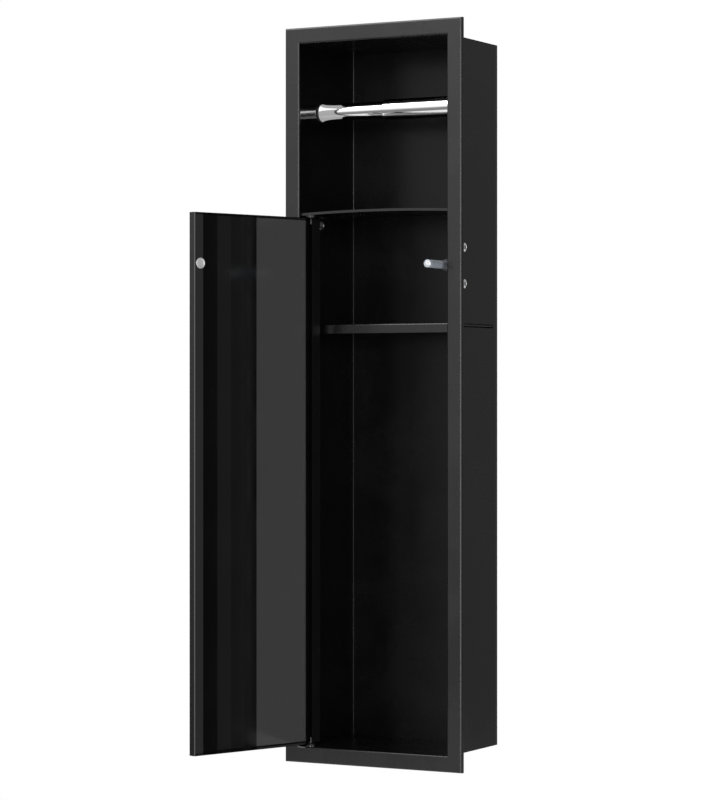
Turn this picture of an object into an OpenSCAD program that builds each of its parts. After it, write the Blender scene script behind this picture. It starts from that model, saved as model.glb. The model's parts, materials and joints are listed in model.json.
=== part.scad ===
// Recessed toilet roll storage cabinet: a folded and welded steel box that is let
// into a wall, with an open roll niche above a divider and a side-hung door below it.
// Millimetres. +X is to the right seen from the room, +Y goes into the wall and +Z
// is up. The origin is where the wall's surface meets the middle of the body's
// flat underside. The door is drawn open, as it stands when the latch has let it go.

/* [Trim frame] */
// Clear width of the opening
opening_w = 203; // [180:1:260]
// Clear height of the opening
opening_h = 863; // [820:1:950]
// Width of the trim frame's face
rim_w = 19.8; // [14:0.1:30]
// Depth of the frame's folded outer edge, which stands on the wall
rim_depth = 6; // [5:0.5:9]
// Depth of the fold that turns into the opening
fold_return = 3; // [2:0.5:4]
// Outside radius of the frame's folds
bend_r = 2; // [1.2:0.1:2]

/* [Body] */
// Thickness of the body's sheet steel
sheet = 1; // [0.8:0.1:1.1]
// Depth of the body behind the wall's surface
body_depth = 133; // [120:1:160]
// Depth of the back panel's folded sides
back_return = 8; // [5:0.5:12]
// Outside radius of the back panel's folds
back_bend_r = 2.5; // [2:0.1:4]

/* [Divider] */
// Clear height of the roll niche above the divider's ends
niche_h = 207.9; // [180:0.1:240]
// How far the divider's middle crowns above its ends
divider_crown = 2.4; // [1:0.1:4]
// How far the divider's front edge lies behind the frame's face
divider_setback = 5; // [4:0.5:12]
// Height of the divider's folded front lip
divider_lip_h = 3; // [2:0.5:5]
// Side of the relief notches in the divider's rear corners
divider_notch = 3; // [3:0.5:6]

/* [Storage shelf] */
// Distance from the divider's ends down to the shelf's top face
shelf_drop = 135.9; // [120:0.1:300]
// How far the shelf's front lies behind the wall's surface
shelf_front = 34; // [30:1:60]
// Height of the shelf's folded front lip
shelf_lip_h = 11.5; // [6:0.5:16]
// Gap between the shelf and the walls round it
shelf_gap = 1; // [0.8:0.1:1.5]
// How far each end of the shelf's lip is cut back to clear the rails
shelf_lip_relief = 5; // [5:0.5:10]
// Height of the bars that carry the shelf
rail_h = 4.5; // [3:0.1:6]
// How far the bars stand out of the walls
rail_stand = 4; // [2:0.1:4.4]
// Where the bars start, behind the wall's surface
rail_front = 28; // [20:1:40]
// How far the bars end before the body's rear face
rail_rear_gap = 14; // [10:1:30]
// Width and depth of the groove round the bars where they show outside
rail_groove = 0.7; // [0.4:0.1:0.7]

/* [Door] */
// Thickness of the folded door
door_t = 10.5; // [9:0.5:12]
// Thickness of the door's sheet
door_sheet = 1; // [0.8:0.1:1.2]
// Outside radius of the door's folds
door_bend_r = 1.5; // [1.3:0.1:2]
// Gap beside the door at its hinges
door_gap_hinge = 3.25; // [3:0.05:4]
// Gap beside the door at its latch
door_gap_latch = 2.75; // [2.5:0.05:4]
// Gap under the door
door_gap_bottom = 3.65; // [3.6:0.05:5]
// How far the door's face lies behind the frame's face
door_recess = 0.75; // [0.5:0.05:2]
// Width of the door's inner return folds
door_return_w = 13; // [12:0.5:15]
// Distance of the pivots from the door's hinge edge
pivot_inset = 10.5; // [10:0.1:11]
// Angle at which the door is drawn
open_angle = 110; // [60:1:118]

/* [Pivots] */
// Radius of the pivot pins
pin_r = 1.5; // [1.5:0.1:2.5]
// How far the pins stand into the door
pin_reach = 7.4; // [4:0.1:10]
// Running clearance round the pins
pin_play = 0.05; // [0.02:0.01:0.1]
// Radius of the pivot washers
washer_r = 4.5; // [4:0.1:6]
// Clearance above and below each washer
washer_play = 0.1; // [0.05:0.01:0.15]
// Radius of the clip on the lower pin
clip_r = 3; // [3:0.1:4.5]
// Thickness of the clip on the lower pin
clip_t = 1; // [0.6:0.1:1.2]
// Width of the pivot arms
arm_w = 14; // [12:0.5:16]
// Thickness of the upper arm
arm_t = 1.5; // [1:0.1:2]
// Gap between the upper arm and the divider's lip
arm_gap = 0.3; // [0.2:0.1:1]
// Thickness of the lower arm
lower_arm_t = 2; // [1.5:0.1:2.2]
// Where the lower arm ends, behind the wall's surface
lower_arm_rear = 40; // [30:1:60]
// Width of the upper arm's foot on the wall
foot_w = 19; // [15:1:26]
// Height of the upper arm's foot on the wall
foot_h = 17; // [16:1:24]
// Depth of the foot's screw behind the wall's surface
foot_screw_y = 45.5; // [36:0.5:60]
// Height from the arm's top down to the foot's screw
foot_screw_drop = 10; // [8:0.5:10]

/* [Screws] */
// Radius of the screws' washer heads
head_r = 5.5; // [5:0.1:6]
// Thickness of the screws' heads
head_t = 1.8; // [1.4:0.1:2.4]
// Depth of the dish in the screws' heads
dish_depth = 0.7; // [0.4:0.1:0.9]
// Width across the flats of the heads' sockets
socket_af = 4.4; // [3:0.1:5]
// Depth of the heads' sockets
socket_depth = 1.2; // [0.8:0.1:1.2]
// Radius of the screws' shanks
shank_r = 2; // [1.5:0.1:2.2]
// Clearance round the shanks
shank_play = 0.05; // [0.02:0.01:0.2]
// Width across the flats of the nut behind the wall
nut_af = 7; // [6:0.1:8]
// Thickness of the nut behind the wall
nut_t = 3.2; // [2:0.1:4]

/* [Latch] */
// Distance of the latch's axis from the right wall
latch_inset = 11.5; // [10.5:0.1:14]
// Distance from the divider's ends down to the latch's axis
latch_drop = 67.1; // [58:0.1:80]
// Travel of the latch's plunger
latch_stroke = 41.1; // [30:0.1:42]
// Radius of the plunger
plunger_r = 4.8; // [4.5:0.1:5.2]
// Length of the plunger
plunger_len = 64; // [58:0.5:65]
// Radius of the plunger's bore, which holds the spring
plunger_bore_r = 3.4; // [3.1:0.1:3.6]
// Thickness of the web behind the magnet
plunger_web = 1.5; // [1:0.1:3]
// Radius of the magnet
magnet_r = 3.6; // [3:0.1:3.8]
// Thickness of the magnet
magnet_t = 2.3; // [1.5:0.1:3]
// How far the magnet lies below the plunger's rim
magnet_sink = 0.2; // [0.1:0.1:0.4]
// Radial clearance of the latch's sliding and fitted pieces
latch_play = 0.05; // [0.02:0.01:0.1]
// Outside radius of the latch's housing
housing_r = 6; // [5.8:0.1:6.4]
// Depth of the housing's mouth behind the wall's surface
housing_front = 14; // [10:0.5:15]
// Gap between the plunger's rear end and the plug when the door is shut
plunger_end_gap = 1.4; // [0.5:0.1:3]
// Radius of the collar at the housing's mouth
collar_r = 7; // [6.8:0.1:7.5]
// Length of the collar at the housing's mouth
collar_len = 2.5; // [1:0.5:4]
// Thickness of the plug that closes the housing
plug_t = 4; // [2:0.5:4]
// Radius of the clamp round the housing
clamp_r = 8.4; // [8:0.1:8.8]
// Length of the clamp round the housing
clamp_len = 22; // [16:1:26]
// Thickness of the latch holder's base
holder_base_t = 2; // [1.5:0.1:2.4]
// Height of the latch holder's base
holder_base_h = 60; // [56:1:70]
// Distance between the latch holder's screws
latch_screw_pitch = 44; // [38:1:46]
// Depth of the latch holder's middle behind the wall's surface
holder_y = 37.3; // [34:0.1:44]
// Radius of the holder's screw bosses
boss_r = 4.6; // [4:0.1:5]
// How far the bosses stand up from the holder's base
boss_h = 5; // [3:0.5:7]
// Thickness of the boss over the end of its screw
boss_cap = 1.2; // [0.8:0.1:2]
// Radius of the strike disc on the door
strike_r = 6.5; // [5:0.1:7]
// Thickness of the strike disc
strike_t = 1.2; // [0.8:0.1:2]
// Gap between the strike disc and the plunger when the door is shut
strike_gap = 0.1; // [0.05:0.05:0.3]

/* [Roller] */
// Distance from the opening's top down to the roller's axis
roller_drop = 80.5; // [70:0.5:110]
// Depth of the roller's axis behind the wall's surface
roller_y = 50; // [40:0.5:65]
// Radius of the roller's large tube
tube_r = 13; // [12.5:0.1:16]
// Radius of the roller's small tube, which slides in the large one
rod_r = 10.8; // [9:0.1:11]
// Radial clearance between the two tubes
tube_play = 0.05; // [0.02:0.01:0.1]
// Wall of the small tube
rod_wall = 1.2; // [0.8:0.1:2]
// Where the large tube's open end lies, left of the middle
tube_mouth = 10; // [0:1:30]
// Length of the small tube
rod_len = 125; // [115:1:135]
// Travel of the small tube into the large one
roller_travel = 12; // [8:1:16]
// Thickness of the large tube's rubber foot
tube_foot_t = 2; // [1:0.1:4]
// Radius of the large tube's rubber foot
tube_foot_r = 12.4; // [12:0.1:13]
// Thickness of the small tube's rubber foot
rod_foot_t = 1.5; // [1:0.1:3]
// Radius of the small tube's rubber foot
rod_foot_r = 11.3; // [11.1:0.1:12]
// Length of the feet's stems inside the tubes
stem_len = 8; // [5:0.5:12]

/* [Springs] */
// Turns of the latch's spring
latch_spring_turns = 18; // [8:1:24]
// Wire radius of the latch's spring
latch_wire_r = 0.35; // [0.2:0.05:0.5]
// Turns of the roller's spring
roller_spring_turns = 11; // [5:1:16]
// Wire radius of the roller's spring
roller_wire_r = 0.6; // [0.4:0.05:0.9]
// Gap between each spring and the bore round it
spring_gap = 0.35; // [0.2:0.05:0.5]

/* [Hidden] */

$fn = 64;
eps = 0.01;
past = 1;                 // how far a cutting body runs past what it cuts
crown_fn = 1440;          // facets of the divider's very large arc
spring_rings = 8;         // rings of a spring's wire in one turn
spring_sides = 6;         // sides of a spring's wire

coat = [0.07, 0.07, 0.075];
steel = [0.75, 0.75, 0.76];
dark_steel = [0.2, 0.2, 0.21];
chrome = [0.82, 0.82, 0.84];
rubber = [0.03, 0.03, 0.03];
latch_grey = [0.52, 0.54, 0.58];
pale_grey = [0.86, 0.86, 0.87];
nylon = [0.06, 0.06, 0.065];

// Body
half_w = opening_w / 2;
wall_x = half_w + sheet;                  // outer face of a side wall
body_h = opening_h + 2 * sheet;
front_y = -rim_depth;                     // the frame's face
wall_front_y = front_y + fold_return;     // where the walls meet the frame's folds
back_y = body_depth - sheet;              // inner face of the back
side_rear_y = body_depth - back_return;   // where the side walls meet the back's folds

// Divider and shelf
divider_z = body_h - sheet - niche_h;     // the divider's top face at its ends
shelf_z = divider_z - shelf_drop;
rail_rear = body_depth - rail_rear_gap;
divider_front_y = front_y + divider_setback;
crown_r = (half_w * half_w + divider_crown * divider_crown) / (2 * divider_crown);
rail_top_z = shelf_z - sheet;
rail_mid_z = rail_top_z - rail_h / 2;
shelf_w = opening_w - 2 * shelf_gap;

// Door, measured from its pivot axis
door_w = opening_w - door_gap_hinge - door_gap_latch;
pivot_x = -half_w + door_gap_hinge + pivot_inset;
pivot_y = front_y + door_recess + door_t / 2;
door_z = sheet + door_gap_bottom;
washer_t = door_gap_bottom - lower_arm_t - 2 * washer_play;
arm_top_z = divider_z - divider_lip_h - arm_gap;
arm_z = arm_top_z - arm_t;
door_top_z = arm_z - washer_t - 2 * washer_play;
door_h = door_top_z - door_z;
foot_screw_z = arm_top_z - foot_screw_drop;

// Latch
latch_x = half_w - latch_inset;
latch_z = divider_z - latch_drop;
plunger_shut_y = pivot_y + door_t / 2 + strike_t + strike_gap;
plunger_y = plunger_shut_y - latch_stroke;
cup_depth = magnet_t + magnet_sink;
spring_seat_y = plunger_y + cup_depth + plunger_web;
plug_y = plunger_shut_y + plunger_len + plunger_end_gap;
housing_len = plug_y + plug_t - housing_front;
base_x = half_w - holder_base_t;          // inner face of the holder's base
boss_x = base_x - boss_h;
holder_screw_len = head_t + sheet + holder_base_t + boss_h - boss_cap;

// Roller
roller_z = body_h - sheet - roller_drop;
tube_len = half_w - tube_foot_t + tube_mouth;
tube_bore_r = rod_r + tube_play;
rod_x = -half_w + rod_foot_t;
rod_end_x = rod_x + rod_len;
stem_x = half_w - tube_foot_t - stem_len;

// A strip of width w and depth d whose two corners at y = 0 are rounded to radius r
module rounded_strip(w, d, r) {
    translate([0, r]) square([w, d - r]);
    translate([r, 0]) square([w - 2 * r, d]);
    translate([r, r]) circle(r = r);
    translate([w - r, r]) circle(r = r);
}

// A rectangle from the origin with all four corners rounded to radius r
module rounded_plate(w, d, r) {
    rounded_strip(w, d - r, r);
    translate([0, d]) mirror([0, 1]) rounded_strip(w, d - r, r);
}

// Section of a frame rail: x runs outwards from the opening, y from the face back
module frame_rail_section() {
    difference() {
        rounded_strip(rim_w, rim_depth, bend_r);
        translate([sheet, sheet])
            rounded_strip(rim_w - 2 * sheet, rim_depth, bend_r - sheet);
        translate([-past, fold_return]) square([sheet + past, rim_depth]);
    }
}

// Everything of one rail between its two mitres: span is the opening's size along
// the rail, and the polygon lies with x outwards from the opening's edge
module mitre_mask(span) {
    polygon([[-past, past], [rim_w + past, -rim_w - past],
             [rim_w + past, span + rim_w + past], [-past, span - past]]);
}

// A rail beside an opening edge of length span, drawn along +Z from the opening's corner
module frame_rail(span) {
    intersection() {
        translate([0, 0, -rim_w]) linear_extrude(span + 2 * rim_w) frame_rail_section();
        translate([0, rim_depth + past, 0]) rotate([90, 0, 0])
            linear_extrude(rim_depth + 2 * past) mitre_mask(span);
    }
}

module right_frame_rail() {
    color(coat) translate([half_w, front_y, sheet]) frame_rail(opening_h);
}

module left_frame_rail() {
    mirror([1, 0, 0]) right_frame_rail();
}

module bottom_frame_rail() {
    color(coat) translate([-half_w, front_y, sheet]) rotate([0, 90, 0]) frame_rail(opening_w);
}

module top_frame_rail() {
    translate([0, 0, body_h]) mirror([0, 0, 1]) bottom_frame_rail();
}

// A carrying bar along the depth, as a solid from x0 with rounded ends; inset draws
// it smaller all round
module rail_bar(x0, thickness, inset = 0) {
    r = rail_h / 2 - inset;
    translate([x0, 0, rail_mid_z]) rotate([90, 0, 90]) linear_extrude(thickness) {
        translate([rail_front + inset + r, -r])
            square([rail_rear - rail_front - rail_h, 2 * r]);
        for (y = [rail_front + inset + r, rail_rear - inset - r])
            translate([y, 0]) circle(r = r);
    }
}

// The right wall without its holes; the left one is its mirror image
module plain_side_wall() {
    difference() {
        translate([half_w, wall_front_y, sheet])
            cube([sheet, side_rear_y - wall_front_y, opening_h]);
        rail_bar(half_w - past, sheet + 2 * past);
    }
}

module right_wall() {
    color(coat) difference() {
        plain_side_wall();
        for (side = [-1, 1])
            translate([half_w - past, holder_y, latch_z + side * latch_screw_pitch / 2])
                rotate([0, 90, 0]) cylinder(r = shank_r + shank_play, h = sheet + 2 * past);
    }
}

module left_wall() {
    color(coat) difference() {
        mirror([1, 0, 0]) plain_side_wall();
        translate([-wall_x - past, foot_screw_y, foot_screw_z])
            rotate([0, 90, 0]) cylinder(r = shank_r + shank_play, h = sheet + 2 * past);
    }
}

// A plate that closes one end of the body, with its rear corners rounded like the back
module end_wall() {
    linear_extrude(sheet) translate([-wall_x, body_depth]) mirror([0, 1])
        rounded_strip(2 * wall_x, body_depth - wall_front_y, back_bend_r);
}

module bottom_wall() {
    color(coat) end_wall();
}

module top_wall() {
    color(coat) translate([0, 0, body_h - sheet]) end_wall();
}

module back_wall() {
    color(coat) translate([0, body_depth, sheet]) linear_extrude(opening_h) mirror([0, 1])
        difference() {
            translate([-wall_x, 0]) rounded_strip(2 * wall_x, back_return, back_bend_r);
            translate([-half_w, sheet])
                rounded_strip(opening_w, back_return, back_bend_r - sheet);
        }
}

// A crowned slab across the opening, with its top on the divider's arc
module crowned_slab(y0, depth, thickness) {
    intersection() {
        translate([0, y0, divider_z + divider_crown - crown_r]) rotate([-90, 0, 0])
            difference() {
                cylinder(r = crown_r, h = depth, $fn = crown_fn);
                translate([0, 0, -past])
                    cylinder(r = crown_r - thickness, h = depth + 2 * past, $fn = crown_fn);
            }
        translate([-half_w, y0 - past, divider_z - 2 * divider_lip_h])
            cube([opening_w, depth + 2 * past, 2 * divider_lip_h + 2 * divider_crown]);
    }
}

module divider() {
    color(coat) difference() {
        union() {
            crowned_slab(divider_front_y, back_y - divider_front_y, sheet);
            crowned_slab(divider_front_y, sheet, divider_lip_h);
        }
        for (x = [-half_w - past, half_w - divider_notch])
            translate([x, back_y - divider_notch, divider_z - divider_lip_h])
                cube([divider_notch + past, divider_notch + past,
                      2 * divider_lip_h + divider_crown]);
    }
}

// A bar let into the right wall's slot, with a grooved edge flush outside
module right_shelf_rail() {
    color(coat) {
        rail_bar(half_w - rail_stand, rail_stand + sheet - rail_groove);
        rail_bar(wall_x - rail_groove - eps, rail_groove + eps, rail_groove);
    }
}

module left_shelf_rail() {
    mirror([1, 0, 0]) right_shelf_rail();
}

// Lies loose on the two bars; the rounded fold at its front carries a deep lip
module storage_shelf() {
    shelf_rear = back_y - shelf_gap;
    lip_half = shelf_w / 2 - shelf_lip_relief;
    color(coat) {
        translate([-shelf_w / 2, shelf_front + bend_r, shelf_z - sheet])
            cube([shelf_w, shelf_rear - shelf_front - bend_r, sheet]);
        translate([-lip_half, shelf_front, shelf_z - shelf_lip_h])
            cube([2 * lip_half, sheet, shelf_lip_h - bend_r]);
        translate([-lip_half, shelf_front + bend_r, shelf_z - bend_r]) rotate([0, 90, 0])
            intersection() {
                difference() {
                    cylinder(r = bend_r, h = 2 * lip_half);
                    translate([0, 0, -past])
                        cylinder(r = bend_r - sheet, h = 2 * lip_half + 2 * past);
                }
                translate([-bend_r, -bend_r, 0]) cube([bend_r, bend_r, 2 * lip_half]);
            }
    }
}

// Screwed to the left wall by its foot, with an arm forward under the divider
module upper_pivot_arm() {
    foot_y = foot_screw_y - foot_w / 2;
    color(coat) difference() {
        union() {
            translate([0, 0, arm_z]) linear_extrude(arm_t) {
                translate([pivot_x, pivot_y]) circle(r = arm_w / 2);
                translate([pivot_x - arm_w / 2, pivot_y])
                    square([arm_w, foot_y + foot_w - pivot_y]);
                translate([-half_w, foot_y])
                    square([pivot_x + half_w, foot_w]);
            }
            translate([-half_w, foot_y, arm_top_z - foot_h]) cube([arm_t, foot_w, foot_h]);
        }
        translate([pivot_x, pivot_y, arm_z - past])
            cylinder(r = pin_r + shank_play, h = arm_t + 2 * past);
        translate([-half_w - past, foot_screw_y, foot_screw_z])
            rotate([0, 90, 0]) cylinder(r = shank_r + shank_play, h = arm_t + 2 * past);
    }
}

// Spot-welded to the bottom of the opening
module lower_pivot_arm() {
    color(coat) translate([0, 0, sheet]) linear_extrude(lower_arm_t) difference() {
        union() {
            translate([pivot_x, pivot_y]) circle(r = arm_w / 2);
            translate([pivot_x - arm_w / 2, pivot_y])
                square([arm_w, lower_arm_rear - pivot_y]);
        }
        translate([pivot_x, pivot_y]) circle(r = pin_r + shank_play);
    }
}

module upper_pivot_pin() {
    z0 = door_top_z - pin_reach;
    color(dark_steel) translate([pivot_x, pivot_y, z0])
        cylinder(r = pin_r, h = arm_top_z - z0);
}

module lower_pivot_pin() {
    color(dark_steel) translate([pivot_x, pivot_y, sheet])
        cylinder(r = pin_r, h = door_z + pin_reach - sheet);
}

// A flat ring round the pivot axis
module pivot_ring(z0, outer_r, thickness) {
    translate([pivot_x, pivot_y, z0]) linear_extrude(thickness) difference() {
        circle(r = outer_r);
        circle(r = pin_r + pin_play);
    }
}

module pivot_washers() {
    color(nylon) {
        pivot_ring(door_top_z + washer_play, washer_r, washer_t);
        pivot_ring(door_z - washer_play - washer_t, washer_r, washer_t);
    }
}

module pin_clip() {
    color(dark_steel) pivot_ring(door_z + door_sheet + washer_play, clip_r, clip_t);
}

// A dished washer-head screw: its head's underside at z = 0, the head up and the
// shank down
module socket_screw(shank_len) {
    dish_z = head_t - dish_depth;
    difference() {
        union() {
            rotate_extrude()
                polygon([[0, 0], [head_r, 0], [head_r, head_t / 2], [head_r * 0.92, head_t],
                         [head_r * 0.84, head_t], [head_r * 0.58, dish_z], [0, dish_z]]);
            translate([0, 0, -shank_len]) cylinder(r = shank_r, h = shank_len + eps);
        }
        translate([0, 0, head_t - socket_depth])
            cylinder(r = socket_af / sqrt(3), h = socket_depth + past, $fn = 6);
    }
}

module arm_screw() {
    color(steel) translate([-half_w + arm_t, foot_screw_y, foot_screw_z])
        rotate([0, 90, 0]) socket_screw(arm_t + sheet + nut_t + past);
}

module arm_nut() {
    color(steel) translate([-wall_x - nut_t, foot_screw_y, foot_screw_z])
        rotate([0, 90, 0]) difference() {
            cylinder(r = nut_af / sqrt(3), h = nut_t, $fn = 6);
            translate([0, 0, -past]) cylinder(r = shank_r + shank_play, h = nut_t + 2 * past);
        }
}

// Section of the door's folded sheet, from its hinge edge and its outer face
module door_section() {
    difference() {
        rounded_plate(door_w, door_t, door_bend_r);
        translate([door_sheet, door_sheet])
            rounded_plate(door_w - 2 * door_sheet, door_t - 2 * door_sheet,
                          door_bend_r - door_sheet);
        translate([door_return_w, door_t - door_sheet - past])
            square([door_w - 2 * door_return_w, door_sheet + 2 * past]);
    }
}

// Places what is drawn for the shut door round its pivot axis, and swings it open
module on_open_door() {
    translate([pivot_x, pivot_y, 0]) rotate([0, 0, -open_angle]) children();
}

module door_panel() {
    color(coat) on_open_door() difference() {
        translate([-pivot_inset, -door_t / 2, door_z]) {
            linear_extrude(door_h) door_section();
            for (z = [0, door_h - door_sheet])
                translate([0, 0, z]) linear_extrude(door_sheet)
                    rounded_plate(door_w, door_t, door_bend_r);
        }
        translate([0, 0, door_z - past]) cylinder(r = pin_r + pin_play, h = door_h + 2 * past);
    }
}

module strike_disc() {
    color(steel) on_open_door() translate([latch_x - pivot_x, door_t / 2, latch_z])
        rotate([-90, 0, 0]) cylinder(r = strike_r, h = strike_t);
}

// Clamp, web, base and screw bosses of the moulded holder on the right wall
module latch_holder() {
    base_w = clamp_len;
    color(coat) difference() {
        union() {
            translate([base_x, holder_y - base_w / 2, latch_z - holder_base_h / 2])
                cube([holder_base_t, base_w, holder_base_h]);
            translate([latch_x, holder_y - clamp_len / 2, latch_z]) rotate([-90, 0, 0])
                cylinder(r = clamp_r, h = clamp_len);
            translate([latch_x, holder_y - clamp_len / 2, latch_z - clamp_r])
                cube([base_x - latch_x + eps, clamp_len, 2 * clamp_r]);
            for (side = [-1, 1])
                translate([boss_x, holder_y, latch_z + side * latch_screw_pitch / 2])
                    rotate([0, 90, 0]) cylinder(r = boss_r, h = boss_h + eps);
        }
        translate([latch_x, holder_y - clamp_len / 2 - past, latch_z]) rotate([-90, 0, 0])
            cylinder(r = housing_r + latch_play, h = clamp_len + 2 * past);
        for (side = [-1, 1])
            translate([boss_x + boss_cap, holder_y, latch_z + side * latch_screw_pitch / 2])
                rotate([0, 90, 0])
                    cylinder(r = shank_r + shank_play, h = boss_h + holder_base_t);
    }
}

module latch_screws() {
    color(steel) for (side = [-1, 1])
        translate([wall_x, holder_y, latch_z + side * latch_screw_pitch / 2])
            rotate([0, 90, 0]) socket_screw(holder_screw_len - head_t - shank_play);
}

// Puts a body drawn along +Z on the latch's axis, with its start at depth y
module on_latch_axis(y) {
    translate([latch_x, y, latch_z]) rotate([-90, 0, 0]) children();
}

module latch_housing() {
    color(coat) on_latch_axis(housing_front) difference() {
        union() {
            cylinder(r = housing_r, h = housing_len);
            cylinder(r = collar_r, h = collar_len);
        }
        translate([0, 0, -past])
            cylinder(r = plunger_r + latch_play, h = housing_len + 2 * past);
    }
}

module housing_plug() {
    color(coat) on_latch_axis(plug_y) cylinder(r = plunger_r, h = plug_t);
}

module latch_plunger() {
    color(latch_grey) on_latch_axis(plunger_y) difference() {
        rotate_extrude() polygon([[0, 0], [plunger_r - 0.4, 0], [plunger_r, 0.4],
                                  [plunger_r, plunger_len], [0, plunger_len]]);
        translate([0, 0, -past]) cylinder(r = magnet_r + latch_play, h = cup_depth + past);
        translate([0, 0, cup_depth + plunger_web])
            cylinder(r = plunger_bore_r, h = plunger_len);
    }
}

module latch_magnet() {
    color(pale_grey) on_latch_axis(plunger_y + magnet_sink) cylinder(r = magnet_r, h = magnet_t);
}

// A helical wire of the given height along +Z, as one closed tube
module coil(height, turns, mean_r, wire_r) {
    count = turns * spring_rings;
    rise = height - 2 * wire_r;
    points = [
        for (i = [0 : count], j = [0 : spring_sides - 1])
            let (turn = 360 * i / spring_rings, side = 360 * j / spring_sides,
                 r = mean_r + wire_r * cos(side))
            [r * cos(turn), r * sin(turn), wire_r + rise * i / count + wire_r * sin(side)]
    ];
    sides = [
        for (i = [0 : count - 1], j = [0 : spring_sides - 1])
            let (k = (j + 1) % spring_sides, a = i * spring_sides, b = a + spring_sides)
            each [[a + j, b + j, b + k], [a + j, b + k, a + k]]
    ];
    start = [[for (j = [0 : spring_sides - 1]) j]];
    finish = [[for (j = [spring_sides - 1 : -1 : 0]) count * spring_sides + j]];
    polyhedron(points = points, faces = concat(sides, start, finish));
}

module latch_spring() {
    mean_r = plunger_bore_r - spring_gap - latch_wire_r;
    color(steel) on_latch_axis(spring_seat_y)
        coil(plug_y - spring_seat_y, latch_spring_turns, mean_r, latch_wire_r);
}

// Puts a body drawn along +Z on the roller's axis, with its start at x
module on_roller_axis(x) {
    translate([x, roller_y, roller_z]) rotate([0, 90, 0]) children();
}

module roller_tube() {
    color(chrome) on_roller_axis(-tube_mouth) difference() {
        cylinder(r = tube_r, h = tube_len);
        translate([0, 0, -past]) cylinder(r = tube_bore_r, h = tube_len + 2 * past);
    }
}

module roller_tube_foot() {
    color(rubber) {
        on_roller_axis(half_w - tube_foot_t) cylinder(r = tube_foot_r, h = tube_foot_t);
        on_roller_axis(stem_x) cylinder(r = rod_r, h = stem_len + eps);
    }
}

module roller_rod() {
    color(chrome) on_roller_axis(rod_x) difference() {
        cylinder(r = rod_r, h = rod_len);
        translate([0, 0, -past]) cylinder(r = rod_r - rod_wall, h = rod_len - rod_wall + past);
    }
}

module roller_rod_foot() {
    color(rubber) {
        on_roller_axis(-half_w) cylinder(r = rod_foot_r, h = rod_foot_t);
        on_roller_axis(rod_x - eps) cylinder(r = rod_r - rod_wall - tube_play, h = stem_len);
    }
}

module roller_spring() {
    mean_r = tube_bore_r - spring_gap - roller_wire_r;
    color(steel) on_roller_axis(rod_end_x)
        coil(stem_x - rod_end_x, roller_spring_turns, mean_r, roller_wire_r);
}

left_frame_rail();
right_frame_rail();
top_frame_rail();
bottom_frame_rail();
left_wall();
right_wall();
top_wall();
bottom_wall();
back_wall();
divider();
left_shelf_rail();
right_shelf_rail();
storage_shelf();
upper_pivot_arm();
lower_pivot_arm();
upper_pivot_pin();
lower_pivot_pin();
pivot_washers();
pin_clip();
arm_screw();
arm_nut();
door_panel();
strike_disc();
latch_holder();
latch_screws();
latch_housing();
housing_plug();
latch_spring();
latch_plunger();
latch_magnet();
roller_tube();
roller_tube_foot();
roller_spring();
roller_rod();
roller_rod_foot();
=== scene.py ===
"""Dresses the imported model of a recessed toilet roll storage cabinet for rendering.

The cabinet is a tall box of black coated sheet steel with a folded trim frame, an open
roll niche with a chromed sprung roller, and a side-hung door with a push latch over a
shelved store. The sheets keep their CAD solids and get their coat here. The turned,
wound and pressed fittings get finer meshes, which stand exactly where their solids are.

Lengths are in metres, in the CAD frame: +X to the right, +Y into the wall, +Z up.
"""

from __future__ import annotations

import json
import logging
import math
from collections.abc import Callable, Iterable, Sequence
from dataclasses import dataclass, field
from enum import Enum
from typing import Any, ClassVar, NamedTuple

import bmesh
import bpy
from mathutils import Matrix, Vector

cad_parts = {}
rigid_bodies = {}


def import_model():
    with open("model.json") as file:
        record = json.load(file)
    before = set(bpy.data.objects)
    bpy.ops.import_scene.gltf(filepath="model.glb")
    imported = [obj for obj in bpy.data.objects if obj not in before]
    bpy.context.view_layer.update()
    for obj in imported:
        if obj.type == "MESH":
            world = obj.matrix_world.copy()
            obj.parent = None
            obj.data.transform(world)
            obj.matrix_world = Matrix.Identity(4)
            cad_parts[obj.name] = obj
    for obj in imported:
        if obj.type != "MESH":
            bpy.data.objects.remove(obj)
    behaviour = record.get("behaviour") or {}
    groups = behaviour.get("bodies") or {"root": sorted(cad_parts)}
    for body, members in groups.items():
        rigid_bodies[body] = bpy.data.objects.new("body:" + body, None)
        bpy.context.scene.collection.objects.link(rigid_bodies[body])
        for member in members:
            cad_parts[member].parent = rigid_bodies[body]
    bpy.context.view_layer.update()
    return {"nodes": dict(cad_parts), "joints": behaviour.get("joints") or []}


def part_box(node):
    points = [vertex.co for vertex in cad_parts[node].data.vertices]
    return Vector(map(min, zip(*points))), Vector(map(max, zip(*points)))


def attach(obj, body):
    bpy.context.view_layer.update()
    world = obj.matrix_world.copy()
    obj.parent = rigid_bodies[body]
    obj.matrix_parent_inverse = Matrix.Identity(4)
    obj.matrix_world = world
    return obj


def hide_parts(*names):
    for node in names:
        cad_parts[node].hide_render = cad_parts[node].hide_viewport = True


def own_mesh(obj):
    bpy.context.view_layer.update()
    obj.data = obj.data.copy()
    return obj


LOG = logging.getLogger("cabinet")
MM = 0.001

Colour = tuple[float, float, float]


# ---------------------------------------------------------------------------
# Named options
# ---------------------------------------------------------------------------


class Slot(Enum):
    """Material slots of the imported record."""

    COATED_STEEL = "coated_steel"
    ZINC_STEEL = "zinc_steel"
    DARK_STEEL = "dark_steel"
    STRIKE_STEEL = "strike_steel"
    SPRING_STEEL = "spring_steel"
    CHROME = "chrome"
    RUBBER = "rubber"
    NYLON = "nylon"
    LATCH_BLACK = "latch_black"
    LATCH_GREY = "latch_grey"
    MAGNET = "magnet"


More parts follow.
